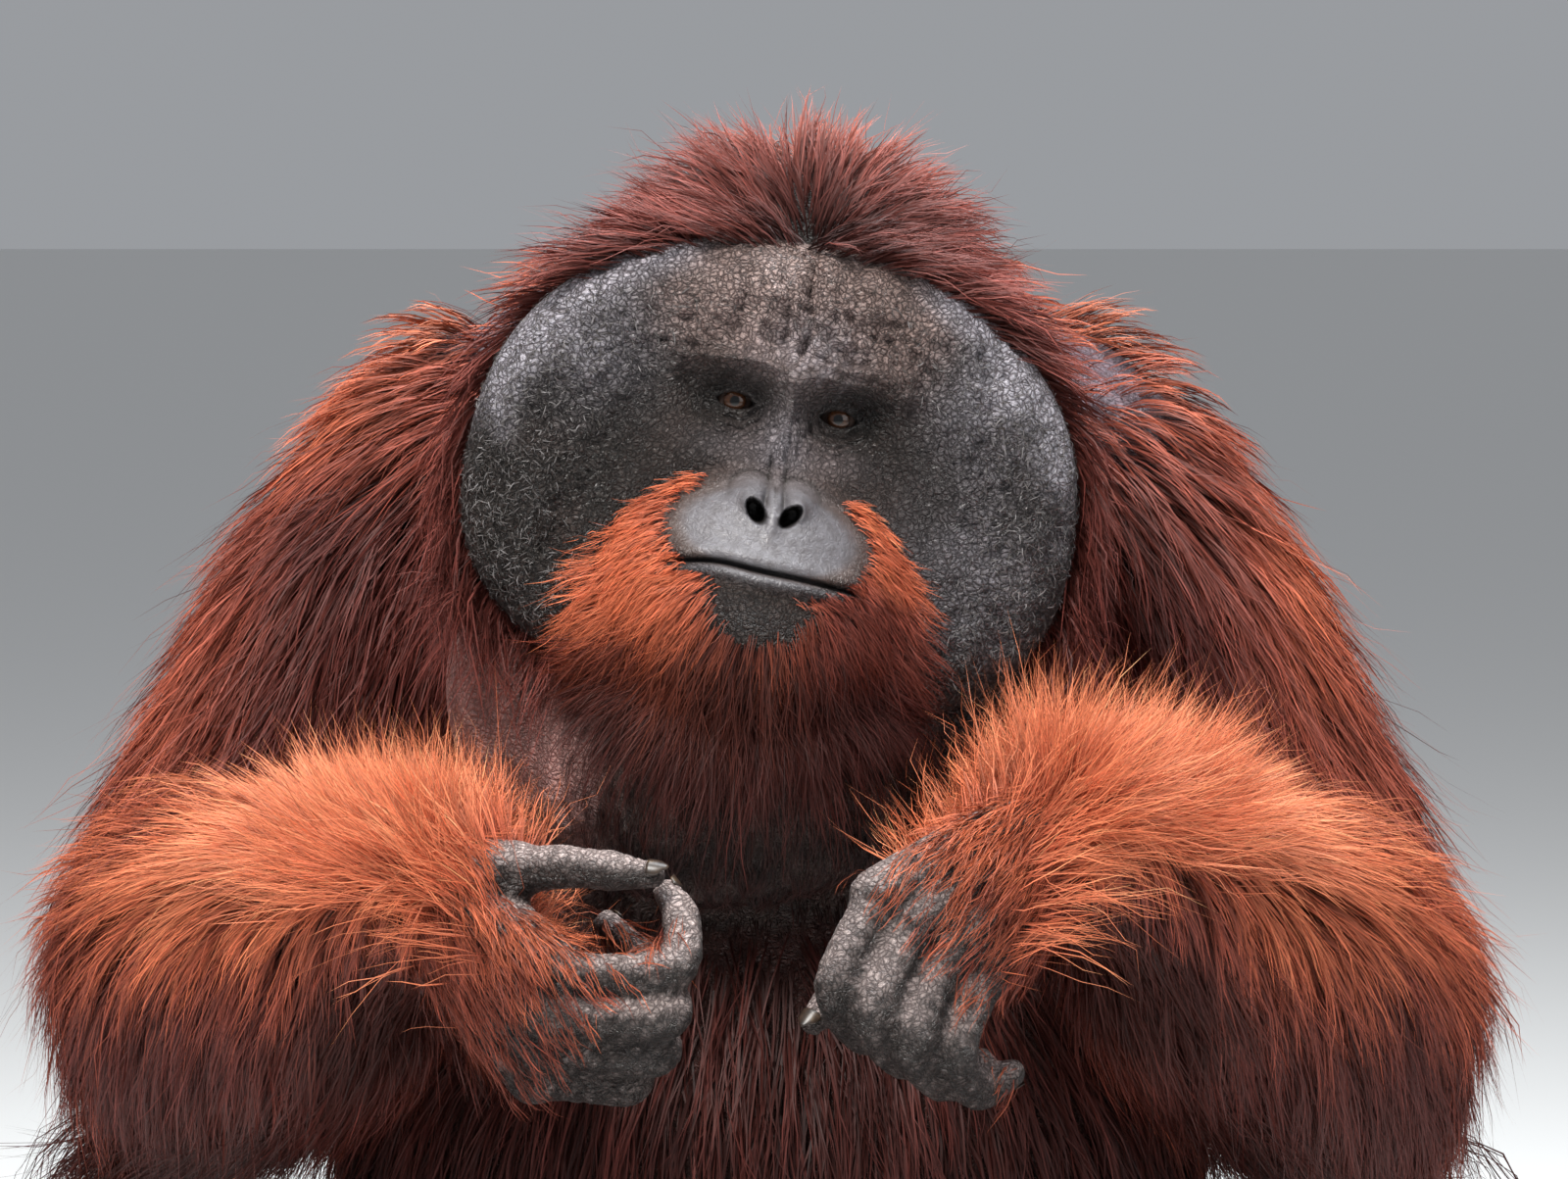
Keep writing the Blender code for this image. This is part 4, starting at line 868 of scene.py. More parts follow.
    # Hands and feet: their own blotches, with painted light, paler on the tops and darker underneath by the normal, and
    # less of the painted highlight on the left (x above 0)
    hand = mix(np.array(SKIN_HAND) * 0.45, SKIN_HAND, clamp(0.45 + 0.35 * blotch + 0.2 * fine + 0.4 * normals[:, 2]))
    pale = clamp(smooth(0.0, 0.80, normals[:, 2]) * 0.88 + 0.10 * fine) * np.where(points[:, 0] > 0.0, 0.80, 1.0)
    hand = mix(hand * 0.75, SKIN_HAND_PALE_AND_HIGHLIGHT, pale)
    for name in ("hand_right", "hand_left", "foot_right", "foot_left"):
        tones[part[name]] = hand[part[name]]
    shoulder_left, shoulder_right, wrist = bare_patches(points)
    tones = mix(tones, SKIN_MAUVE, clamp(shoulder_left + shoulder_right) * ~front)
    tones = mix(tones, SKIN_HAND_PALE_AND_HIGHLIGHT, clamp(wrist) * ~front)
    return np.clip(tones * (1.0 + 0.10 * fine)[:, None], 0.003, 1.0)


# ---------------------------------------------------------------- hair


class Surface:
    """The skin as arrays: its triangles, their normals and parts, and a tree for the nearest place on it."""

    def __init__(self, obj):
        mesh = obj.data
        mesh.calc_loop_triangles()
        self.corners = np.empty(len(mesh.loop_triangles) * 3, np.int32)
        mesh.loop_triangles.foreach_get("vertices", self.corners)
        self.corners = self.corners.reshape(-1, 3)
        self.points, self.normals = points_of(obj), normals_of(obj)
        a, b, c = (self.points[self.corners[:, i]] for i in range(3))
        cross = np.cross(b - a, c - a)
        self.areas = np.linalg.norm(cross, axis=1) / 2
        self.middles = (a + b + c) / 3
        self.facing = unit(cross)
        self.parts = part_of(self.middles)
        self.tree = BVHTree.FromPolygons(self.points.tolist(), self.corners.tolist())
        self.open = self.clear_ahead(0.016)

    def clear_ahead(self, reach):
        """Which triangles have no other skin close in front of them."""
        starts = self.middles + self.facing * 0.002
        cast = self.tree.ray_cast
        found = [cast(Vector(p), Vector(n), reach)[0] is None for p, n in zip(starts.tolist(), self.facing.tolist())]
        return np.array(found)

    def nearest(self, points):
        found = [self.tree.find_nearest(Vector(p)) for p in points.tolist()]
        return np.array([f[0] for f in found]), np.array([f[1] for f in found])

    def sample(self, weights, count, rng):
        """Random places where the weights are above 0, with the skin's normals there."""
        chances = self.areas * weights
        picks = rng.choice(len(chances), size=count, p=chances / chances.sum())
        a, b = rng.random((2, count))
        root = np.sqrt(a)
        shares = np.stack((1 - root, root * (1 - b), root * b), axis=1)[:, :, None]
        corners = self.corners[picks]
        return (self.points[corners] * shares).sum(axis=1), unit((self.normals[corners] * shares).sum(axis=1))


def grow_guides(surface, roots, normals, lie, length, rise, stand, droop):
    """Guide hairs: each runs from its root along the lie of the coat, over the body, and sinks as it hangs."""
    count = len(roots)
    path, ups = np.empty((2, count, HAIR_STEPS + 1, 3))
    at, up = roots.copy(), normals.copy()
    stand = stand[:, None]
    heading = unit(flat(lie(at, up), up) * (1.0 - stand) + up * stand)
    path[:, 0], ups[:, 0] = at, up
    for step in range(1, HAIR_STEPS + 1):
        share = step / HAIR_STEPS
        wanted = flat(lie(at, up), up) * (1.0 - stand) + up * stand
        heading = unit(heading * 0.62 + wanted * 0.38 - UP * (droop * share))
        at = at + heading * (length / HAIR_STEPS)[:, None]
        near, near_normal = surface.nearest(at)
        outside = ((at - near) * near_normal).sum(axis=1)
        height = 0.0012 + rise * (1.0 - (1.0 - share) ** 1.6)
        push = np.maximum(height - outside, 0.0)
        settles = (near_normal[:, 2] > -0.35) * (1.0 - np.minimum(stand[:, 0] * 2.5, 1.0))
        pull = np.maximum(outside - height, 0.0) * 0.55 * settles
        at = at + near_normal * (push - pull)[:, None]
        at[:, 2] = np.maximum(at[:, 2], FLOOR_CLEAR)
        up = np.where((outside < 0.05)[:, None], near_normal, up)
        path[:, step], ups[:, step] = at, up
    return path, ups


def blades(name, centres, ups, width, roll, tones, patches):
    """One mesh of thin tapered blades. Centres run from root to tip, tones hold one colour a ring."""
    count, rings = centres.shape[:2]
    along = unit(np.gradient(centres, axis=1))
    side = unit(np.cross(along, ups))
    lift = np.cross(side, along)
    side = side * np.cos(roll)[:, None, None] + lift * np.sin(roll)[:, None, None]
    profile = np.interp(np.linspace(0, 1, rings), (0.0, 0.25, 0.6, 0.85, 1.0), (0.70, 1.0, 0.80, 0.45, 0.0))
    half = side * (width[:, None] * profile / 2)[:, :, None]
    pairs = np.stack((centres - half, centres + half), axis=2)[:, :-1].reshape(count, -1, 3)
    points = np.concatenate((pairs, centres[:, -1:]), axis=1)
    each = points.shape[1]
    quads = [(2 * i, 2 * i + 1, 2 * i + 3, 2 * i + 2) for i in range(rings - 2)]
    pattern = np.array([index for quad in quads for index in quad] + [each - 3, each - 2, each - 1])
    sizes = np.array([4] * len(quads) + [3])
    starts = (np.arange(count) * each)[:, None]
    piece = object_from(name, points.reshape(-1, 3), (starts + pattern).ravel(), np.tile(sizes, count))
    ring_of = np.concatenate((np.repeat(np.arange(rings - 1), 2), [rings - 1]))
    set_tones(piece, "tone", tones[:, ring_of].reshape(-1, 3))
    across = np.concatenate((np.tile((-1.0, 1.0), rings - 1), [0.0])) * 0.0015
    up_patch = ring_of / (rings - 1) * 0.003
    spot = np.stack((patches[:, :1] + across, patches[:, 1:] + up_patch), axis=2).reshape(-1, 2)
    layer = piece.data.uv_layers.new(name="OFBake")
    layer.data.foreach_set("uv", spot[(starts + pattern).ravel()].astype(np.float32).ravel())
    return piece


def unwrap(roots, start, end, out=(0.0, -1.0, 0.0)):
    """Where roots lie on a limb's own unwrap: round its middle line and along it."""
    start, end = np.array(start, float), np.array(end, float)
    along = end - start
    axis = along / np.linalg.norm(along)
    first = unit(np.array(out) - axis * (np.array(out) @ axis))
    second = np.cross(axis, first)
    from_start = roots - start
    angle = np.arctan2(from_start @ second, from_start @ first) / math.tau + 0.5
    share = (from_start @ along) / (along @ along)
    share = (share - share.min()) / max(share.max() - share.min(), 1e-6)
    return np.stack((0.01 + angle * 0.98, 0.01 + share * 0.97), axis=1)


def coat(
    surface, name, weights, count, clump, lie, length, rise, width, tone, axis, seed,
    stand=None, droop=0.10, gather=0.52, frizz=0.075, sway=0.20, stray=0.10,
):
    """One piece of the coat: hairs that gather in locks, each lock round a guide hair.

    lie, length, rise, tone and stand are functions of places and normals on the skin: which way the hairs run,
    how long they are, how far their tips rise, their root and tip tones, and how much they stand on end.
    droop is how much they hang, gather how close a lock's tips are, frizz how much each hair wanders, sway how
    far locks differ in direction, and stray the share of hairs that leave their lock.
    """
    rng = np.random.default_rng(seed)
    guides = max(40, count // clump)
    roots, normals = surface.sample(weights, guides, rng)
    long = length(roots, normals) * rng.uniform(0.80, 1.15, guides)
    high = rise(roots, normals) * rng.uniform(0.30, 1.0, guides)
    standing = (stand or constant(0.0))(roots, normals) * rng.uniform(0.7, 1.2, guides)
    drift = unit(rng.normal(size=(guides, 3))) * sway
    path, ups = grow_guides(surface, roots, normals, lambda p, n: unit(lie(p, n)) + drift, long, high, standing, droop)
    tree = KDTree(guides)
    for number, root in enumerate(roots.tolist()):
        tree.insert(root, number)
    tree.balance()
    places, facing = surface.sample(weights, count, rng)
    nearest = np.array([tree.find(Vector(p))[1] for p in places.tolist()])
    offset = places - roots[nearest]
    shorter = rng.uniform(0.62, 1.0, count)
    loose = rng.random(count) < stray
    held = np.where(loose, 0.1, gather) * rng.uniform(0.75, 1.1, count)
    shares = np.linspace(0.0, 1.0, HAIR_STEPS + 1)
    at = shorter[:, None] * shares * HAIR_STEPS
    low = np.minimum(at.astype(int), HAIR_STEPS - 1)
    part = (at - low)[:, :, None]
    own = path[nearest]
    rows = np.arange(count)[:, None]
    guide = own[rows, low] * (1 - part) + own[rows, low + 1] * part
    up = ups[nearest][rows, low]
    spread = 1.0 - held[:, None] * shares[None, :] ** 0.8
    centres = guide + offset[:, None] * spread[:, :, None]
    bend = frizz * long[nearest] * np.where(loose, 2.4, 1.0)
    wander = unit(rng.normal(size=(count, 3)))
    curl = unit(rng.normal(size=(count, 3)))
    phase = rng.uniform(0, math.tau, count)[:, None]
    centres += wander[:, None] * (bend[:, None] * shares**1.5)[:, :, None]
    centres += curl[:, None] * (0.45 * bend[:, None] * shares * np.sin(phase + shares * 6.5))[:, :, None]
    out = np.where(loose, 0.16, 0.0) * long[nearest] * rng.uniform(0.3, 1.0, count)
    centres += facing[:, None] * (out[:, None] * shares**1.3)[:, :, None]
    centres[:, 0] = places - facing * 0.0015
    centres = np.clip(centres, COAT_LOW, COAT_HIGH)
    wide = width * rng.uniform(0.65, 1.25, count) * np.where(loose, 0.55, 1.0)
    root_tone, tip_tone = tone(places, facing)
    lock = rng.normal(size=guides)[nearest] * 0.17 + rng.normal(size=count) * 0.24
    fade = shares[None, :, None] ** 0.75
    tones = root_tone[:, None] * (1 - fade) + tip_tone[:, None] * fade
    tones = np.clip(tones * np.exp(lock)[:, None, None], 0.002, 0.95)
    patches = unwrap(places, *axis)
    return blades(name, centres, up, wide, rng.normal(size=count) * 0.55, tones, patches)


# ---------------------------------------------------------------- the coats


def bristles(surface, count, seed=301):
    """Short pale stubble that lies every way on the cheek pads."""
    rng = np.random.default_rng(seed)
    x, z, front = face_places(surface.middles)
    reach = face_reach(x, z)
    weights = front * smooth(0.55, 0.95, reach) * smooth(1.02, 1.20, muzzle_reach(x, z)) * smooth(0.115, 0.050, z)
    roots, normals = surface.sample(weights, count, rng)
    heading = flat(from_head(unit(rng.normal(size=(count, 3)) * (1.0, 0.4, 1.0) + (0.0, 0.0, -0.45))), normals)
    long = rng.uniform(0.0030, 0.0085, count)[:, None]
    shares = np.linspace(0, 1, 3)
    lift = normals[:, None] * (0.30 * np.sin(shares * 2.4))[:, None]
    centres = roots[:, None] - normals[:, None] * 0.0006 + (heading[:, None] * shares[:, None] + lift) * long[:, None]
    pale = rng.random(count) ** 2.0
    tones = np.repeat(mix((0.030, 0.024, 0.021), (0.250, 0.235, 0.235), pale)[:, None], 3, axis=1)
    local = to_head(roots)
    patches = np.stack((0.02 + 0.95 * (local[:, 0] + 0.19) / 0.38, 0.02 + 0.95 * (local[:, 2] + 0.15) / 0.31), axis=1)
    ups = np.repeat(normals[:, None], 3, axis=1)
    wide, roll = rng.uniform(0.0004, 0.0008, count), rng.normal(size=count) * 0.4
    return blades("coat_bristles", centres, ups, wide, roll, tones, patches)


def make_coats(surface):
    """All the pieces of the coat."""
    share = 1.0
    middles, facing, open_skin = surface.middles, surface.facing, surface.open
    on = {name: (surface.parts == number) for number, name in enumerate(PARTS)}
    shoulder_left, shoulder_right, wrist_patch = bare_patches(middles)
    bald = 1.0 - clamp(0.95 * (shoulder_left + shoulder_right) + wrist_patch)
    pieces = []

    def add(name, weights, count, *how, **kind):
        pieces.append(coat(surface, f"coat_{name}", weights * open_skin, int(count * share), *how, **kind))

    for side, sign in (("right", -1.0), ("left", 1.0)):
        shoulder, elbow, wrist = (np.array(place[side]) for place in (SHOULDER, ELBOW, WRIST))
        down_arm, to_elbow = unit(elbow - shoulder), unit(elbow - wrist)
        outward = np.array((sign, -0.15, 0.0))

        def arm_lie(p, n, down_arm=down_arm, outward=outward):
            over = smooth(0.60, 0.74, p[:, 2])[:, None]
            return down_arm * (1 - over) + (outward * 0.8 + down_arm * 0.5) * over - UP * 0.25

        def arm_tone(p, n, sign=sign):
            # Painted light: lighter on the tops and the outer side by the normal, painted shadow of the head on the
            # inner side near the body, and a painted orange highlight on the tips at the top
            inner = smooth(0.30, 0.20, p[:, 0] * sign) * smooth(0.73, 0.66, p[:, 2])
            light = 0.20 + 0.62 * smooth(0.1, 0.95, n[:, 2]) + 0.14 * smooth(0.1, 0.9, n[:, 0] * sign)
            light = clamp(light + 0.15 * waves(p, 0.12, 81) - 0.38 * inner)
            tip = mix(HAIR_MAROON, HAIR_RED, clamp(light * 1.35))
            tip = mix(tip, HAIR_ORANGE, clamp(light * 1.6 - 0.85))
            return mix(HAIR_ROOT, HAIR_MAROON, light), mix(tip, HAIR_BRIGHT, 0.40 * smooth(0.70, 0.95, n[:, 2]))

        add(
            f"upper_arm_{side}", on[f"upper_arm_{side}"] * (0.04 + 0.96 * bald), 22500, 7, arm_lie,
            lambda p, n: np.interp(p[:, 2], (0.38, 0.55, 0.75), (0.130, 0.130, 0.095)) * (1.0 - 0.75 * near_bare(p)),
            constant(0.035), 0.0011, arm_tone, (shoulder, elbow), 101 + (sign > 0), droop=0.10,
        )

        def fore_lie(p, n, to_elbow=to_elbow, sign=sign):
            high = smooth(-0.2, 0.7, n[:, 2])[:, None]
            return to_elbow * (0.55 + 0.5 * high) - UP * (1.0 - 0.8 * high) + np.array((sign * 0.15, -0.10, 0.0))

        def fore_length(p, n, wrist=wrist):
            far = np.linalg.norm(p - wrist, axis=1)
            return np.interp(far, (0.03, 0.10, 0.25), (0.045, 0.080, 0.115)) * (
                1.0 - 0.15 * smooth(0.2, 0.9, n[:, 2]) + 0.60 * smooth(-0.2, -0.8, n[:, 2]) * smooth(0.08, 0.16, far)
            )

        def fore_rise(p, n, wrist=wrist):
            return np.interp(np.linalg.norm(p - wrist, axis=1), (0.03, 0.12, 0.3), (0.016, 0.036, 0.043))

        def fore_stand(p, n, wrist=wrist):
            near = smooth(0.27, 0.06, np.linalg.norm(p - wrist, axis=1))
            return smooth(-0.05, 0.6, n[:, 2]) * (0.24 + 0.34 * near)

        def fore_tone(p, n, sign=sign):
            # Painted light: the tips are lit orange where the forearm faces up and painted in shade, near the root
            # tone, on its underside, by the normal; they also darken where the forearm lies far out from the body's
            # middle
            outer = 0.42 * smooth(0.28, 0.40, p[:, 0] * sign)
            top = clamp(smooth(-0.50, 0.75, n[:, 2]) + 0.14 * waves(p, 0.09, 82) - outer)
            low = smooth(-0.20, -0.65, n[:, 2]) * smooth(0.42, 0.34, np.abs(p[:, 0]))
            tip = mix(mix(HAIR_MAROON, HAIR_RED, clamp(top * 2.1)), HAIR_ORANGE, clamp(top * 1.9 - 0.70))
            tip = mix(mix(tip, HAIR_BRIGHT, clamp(top * 2.2 - 1.50)), HAIR_ROOT, 0.85 * low)
            return mix(HAIR_ROOT, HAIR_RED, clamp(top - 0.35)), tip

        add(
            f"forearm_{side}", on[f"forearm_{side}"] * (0.02 + 0.98 * bald), 25500, 7, fore_lie, fore_length,
            fore_rise,
            0.0011, fore_tone, (wrist, elbow), 111 + (sign > 0), droop=0.14, stand=fore_stand,
        )
        near_wrist = smooth(0.125, 0.050, np.linalg.norm(middles - wrist, axis=1)) * smooth(-0.15, 0.35, facing[:, 2])
        at_wrist = (on[f"forearm_{side}"] | on[f"hand_{side}"]) * near_wrist * bald
        at_wrist = at_wrist * smooth(-0.055, -0.015, (middles - wrist) @ to_elbow)
        add(
            f"wrist_{side}",
            at_wrist,
            8000, 4, lambda p, n, to_elbow=to_elbow: to_elbow * 0.6 + UP * 0.3,
            constant(0.074 if sign > 0 else 0.064), constant(0.032), 0.0007,
            lambda p, n: (even(HAIR_RED, p), mix(HAIR_ORANGE, HAIR_BRIGHT, clamp(0.45 + 0.4 * waves(p, 0.03, 88)))),
            (wrist, elbow), 171 + (sign > 0), droop=0.06, stand=constant(0.60), gather=0.30, frizz=0.14, sway=0.45,
            stray=0.25,
        )

        hip, knee, ankle = (np.array(joint) for joint in leg_joints(side))

        def leg_lie(p, n, hip=hip, knee=knee, ankle=ankle):
            below = smooth(-0.12, -0.26, p[:, 1])[:, None]
            return unit(knee - hip) * (1 - below) + unit(ankle - knee) * below - UP * 0.6

        def leg_tone(p, n):
            # Painted light: the tips are redder where the leg faces up, by the normal
            return even(HAIR_ROOT, p), mix(HAIR_MAROON, HAIR_RED, clamp(0.5 + 0.4 * n[:, 2] + 0.2 * waves(p, 0.1, 83)))

        add(
            f"leg_{side}", on[f"leg_{side}"] * (middles[:, 2] > 0.03), 6500, 8, leg_lie, constant(0.105),
            constant(0.026), 0.0024, leg_tone, (hip, knee), 121 + (sign > 0), droop=0.12,
        )
        knuckles = np.mean([DIGITS[side][name][0] for name in ("index", "middle", "ring", "little")], axis=0)
        onward = unit(knuckles - wrist)
        far, _ = to_segment(middles, wrist - onward * 0.03, knuckles + onward * 0.02)
        thumb = DIGITS[side]["thumb"]
        thumb_far = to_segment(middles, thumb[0], thumb[3])[1] + 0.012 * (sign > 0)
        back_of_hand = smooth(-0.35, 0.15, facing @ np.array((0.35 * sign, -0.85, -0.10)))

        def hand_tone(p, n):
            light = clamp(0.15 + 0.9 * n[:, 2] + 0.2 * waves(p, 0.03, 89))
            return even(HAIR_MAROON, p), mix(np.array(HAIR_RED) * 0.6, HAIR_ORANGE, light)

        add(
            f"hand_{side}",
            (on[f"hand_{side}"] | (on[f"forearm_{side}"] & (np.linalg.norm(middles - wrist, axis=1) < 0.060)))
            * (0.12 + 0.88 * smooth(0.85, 0.45, far))
            * (far < 0.97)
            * smooth(0.020, 0.028, thumb_far)
            * back_of_hand
            * bald,
            5200, 5, lambda p, n, onward=onward: onward - UP * 0.25, constant(0.032), constant(0.008), 0.0007,
            hand_tone,
            (wrist, knuckles), 151 + (sign > 0), droop=0.10, stray=0.15, frizz=0.11,
        )

    back = clamp(smooth(-0.25, 0.15, facing[:, 1]) + (middles[:, 2] > 0.62))
    trunk_axis = ((0.0, 0.04, 0.05), (0.0, 0.06, 0.78), (0.0, -1.0, 0.0))

    def back_tone(p, n):
        light = clamp(0.28 + 0.45 * smooth(0.0, 0.9, n[:, 2]) + 0.14 * waves(p, 0.13, 84))
        tip = mix(HAIR_MAROON, HAIR_RED, clamp(light * 1.5))
        return mix(HAIR_ROOT, HAIR_MAROON, light), mix(tip, HAIR_ORANGE, clamp(light * 1.5 - 0.75))

    add(
        "back", on["trunk"] * back * (middles[:, 2] > 0.03) * (0.04 + 0.96 * bald), 20000, 8,
        lambda p, n: np.stack((p[:, 0] * 2.0, 0.05 + 1.2 * smooth(0.2, 0.8, n[:, 2]), np.full(len(p), -1.0)), axis=1),
        lambda p, n: 0.140 * (1.0 - 0.75 * near_bare(p)), constant(0.026), 0.0015, back_tone, trunk_axis, 131,
        droop=0.12,
    )

    def belly_tone(p, n):
        light = clamp(0.5 + 0.4 * waves(p, 0.05, 85))
        return even(np.array(HAIR_ROOT) * 0.5, p), mix(np.array(HAIR_MAROON) * 0.35, np.array(HAIR_MAROON) * 0.9, light)

    add(
        "belly", on["trunk"] * (1.0 - back) * (middles[:, 2] > 0.04), 10000, 8,
        lambda p, n: np.stack((p[:, 0] * 1.2, np.full(len(p), -0.05), np.full(len(p), -1.0)), axis=1),
        constant(0.105), constant(0.022), 0.0014, belly_tone, trunk_axis, 132, droop=0.15,
    )
    # Head: the crown, parted at its whorl, then the sides of the muzzle and the beard
    local = to_head(middles)
    x, z, front = face_places(middles)
    ears = [np.array((sign * EAR_AT[0], EAR_AT[1], EAR_AT[2])) for sign in (-1, 1)]
    by_ear = np.min([np.linalg.norm(local - ear, axis=1) for ear in ears], axis=0) < 0.030
    hairline = (face_reach(x, z) > 0.955) & (np.abs(x) < 0.125) & (z > 0.06)
    crown = on["head"] * np.where(front, hairline, (local[:, 1] > -0.006) & (local[:, 2] > -0.10)) * ~by_ear

    def crown_lie(p, n):
        at = to_head(p) - WHORL
        out = np.stack((at[:, 0] * 1.1, at[:, 1] * 0.8 + 0.006, at[:, 2] * 0.35 + 0.018), axis=1)
        return from_head(unit(out)) - UP * (0.15 + 0.8 * smooth(0.10, 0.0, to_head(p)[:, 2]))[:, None]

    def crown_tone(p, n):
        at = to_head(p)
        dark = ridge(np.linalg.norm((at - WHORL) * (1.0, 0.9, 0.5), axis=1), 0.026)
        light = clamp(0.45 + 0.3 * waves(p, 0.05, 86) + 0.3 * n[:, 2])
        tip = mix(mix(HAIR_MAROON, HAIR_CROWN, light), (0.030, 0.014, 0.013), dark)
        # Painted highlight on the top of the head
        top = clamp(smooth(0.160, 0.190, at[:, 2]) * 0.75 * (1 - dark))
        return mix(HAIR_ROOT, (0.018, 0.010, 0.010), dark), mix(tip, (0.560, 0.160, 0.100), top)

    def crown_length(p, n):
        far = np.linalg.norm(to_head(p) - WHORL, axis=1)
        return 0.028 + 0.042 * smooth(0.0, 0.05, far) + 0.035 * smooth(0.10, 0.0, to_head(p)[:, 2])

    add(
        "crown", crown.astype(float), 22000, 6, crown_lie, crown_length,
        lambda p, n: 0.022 + 0.010 * smooth(0.02, 0.10, to_head(p)[:, 2]), 0.0010, crown_tone,
        (HEAD_AT + Vector((0, 0.06, -0.1)), HEAD_AT + Vector((0, 0.06, 0.2))), 141, droop=0.05, sway=0.40, frizz=0.11,
        gather=0.60, stand=lambda p, n: 0.34 * smooth(0.05, 0.12, to_head(p)[:, 2]),
    )

    bare_lip = np.hypot(x / 0.057, (z + 0.040) / 0.032)
    bare_chin = np.hypot(x / 0.030, (z + 0.078) / 0.018)
    bare = smooth(0.94, 1.16, bare_lip) * smooth(0.60, 1.50, bare_chin)
    bare = bare * smooth(0.036, 0.046, np.abs(x) + smooth(-0.04, -0.06, z))
    cheeks = front * smooth(1.05, 0.97, muzzle_reach(x, z)) * bare

    def from_mouth(p, down):
        at = to_head(p)
        out = np.stack((at[:, 0] * 16.0, np.full(len(p), -0.10), (at[:, 2] + 0.045) * 9.0 - down), axis=1)
        return from_head(unit(out))

    def muzzle_length(p, n):
        at = to_head(p)
        from_lip = np.hypot(at[:, 0] / 0.057, (at[:, 2] + 0.040) / 0.034) - 1.0
        return np.interp(from_lip, (0.0, 0.3, 0.8, 1.6), (0.010, 0.026, 0.048, 0.075))

    def muzzle_tone(p, n):
        at = to_head(p)
        # Painted shade: the hair darkens towards the bottom of the muzzle and beard, and on the left side (x above 0)
        # below the mouth
        low = smooth(-0.075, -0.135, at[:, 2])
        middle = ridge(at[:, 0], 0.034) * smooth(-0.06, -0.085, at[:, 2])
        shade = 1.15 * smooth(0.005, 0.050, at[:, 0]) * smooth(-0.040, -0.070, at[:, 2])
        tip = mix(HAIR_ORANGE, HAIR_RED, clamp(low + shade + 0.25 * waves(p, 0.04, 87)))
        tip = mix(tip, HAIR_MAROON, 0.65 * middle)
        tip = mix(tip, np.array(HAIR_MAROON) * 0.7, clamp(0.95 * low + 0.6 * shade))
        return mix(mix(HAIR_RED, HAIR_MAROON, clamp(low + shade)), HAIR_ROOT, middle), tip

    def beard_tone(p, n):
        root, tip = muzzle_tone(p, n)
        return root * 0.4, mix(tip, np.array(HAIR_MAROON) * 0.45, np.full(len(p), 0.75))

    head_axis = (HEAD_AT + Vector((0, -0.05, 0.05)), HEAD_AT + Vector((0, -0.05, -0.2)))
    add(
        "muzzle", cheeks, 15000, 5, lambda p, n: from_mouth(p, 0.35), muzzle_length,
        lambda p, n: muzzle_length(p, n) * 0.20, 0.0006, muzzle_tone, head_axis, 142, droop=0.08, frizz=0.09,
        gather=0.35, stray=0.12,
    )
    chin = on["head"] * ~front * (local[:, 1] < 0.005) * (local[:, 2] < -0.085) * (np.abs(local[:, 0]) < 0.070)
    add(
        "beard", clamp(cheeks * smooth(-0.085, -0.110, z) + chin), 13000, 6, lambda p, n: from_mouth(p, 0.9),
        lambda p, n: 0.096 - 0.30 * np.abs(to_head(p)[:, 0]), constant(0.020), 0.0008, beard_tone, head_axis, 143,
        droop=0.22, frizz=0.09, gather=0.50, stray=0.12,
    )
    add(
        "throat", on["throat"] * (facing[:, 1] < 0.2) * smooth(-0.125, -0.075, middles[:, 0]), 6000, 6,
        lambda p, n: np.stack((p[:, 0] * 2.0, np.full(len(p), -0.1), np.full(len(p), -1.0)), axis=1), constant(0.020),
        constant(0.003), 0.0006, lambda p, n: (even((0.016, 0.009, 0.009), p), even((0.050, 0.020, 0.017), p)),
        ((0.0, -0.12, 0.62), (0.0, -0.12, 0.42)), 161, droop=0.10, stray=0.05,
    )
    pieces.append(bristles(surface, int(6000 * share)))
    return pieces


# ---------------------------------------------------------------- eyes and nails


def make_eye(name):
    """An eyeball with its cornea standing a little proud, and the tones of pupil, iris and white."""
    low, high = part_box(name)
    centre = (Vector(low) + Vector(high)) / 2
    gaze = Vector((0.02, -1.0, 0.05)).normalized()
    bm = bmesh.new()
    add_globe(bm, (0.0, 0.0, 0.0), (1.0, 1.0, 1.0), 72)
    turn = Vector((0.0, 0.0, 1.0)).rotation_difference(gaze).to_matrix()
    tones = []
    for vertex in bm.verts:
        off = math.degrees(math.acos(max(-1.0, min(1.0, vertex.co.z))))
        angle = math.atan2(vertex.co.y, vertex.co.x)
        bulge = 1.0 + 0.045 * max(0.0, 1.0 - (off / 34.0) ** 2)
        streak = 0.5 + 0.5 * math.sin(angle * 23.0 + 2.0 * math.sin(angle * 7.0))
        if off < 13.0:
            tone = (0.002, 0.002, 0.002)
        elif off < 31.0:
            share = (off - 13.0) / 18.0
            tone = tuple(c * (0.55 + 0.45 * streak) * (1.15 - 0.8 * share**3) for c in (0.060, 0.022, 0.009))
        else:
            share = min(1.0, (off - 31.0) / 10.0)
            tone = tuple(a * (1 - share) + b * share for a, b in zip((0.014, 0.009, 0.008), (0.055, 0.036, 0.030)))
        tones.append(tone)
        vertex.co = centre + turn @ (vertex.co * EYE_RADIUS * bulge * 0.985)
    eye = object_of(f"{name}_ball", bm)
    shade_smooth(eye)
    set_tones(eye, "tone", np.array(tones))
    return eye


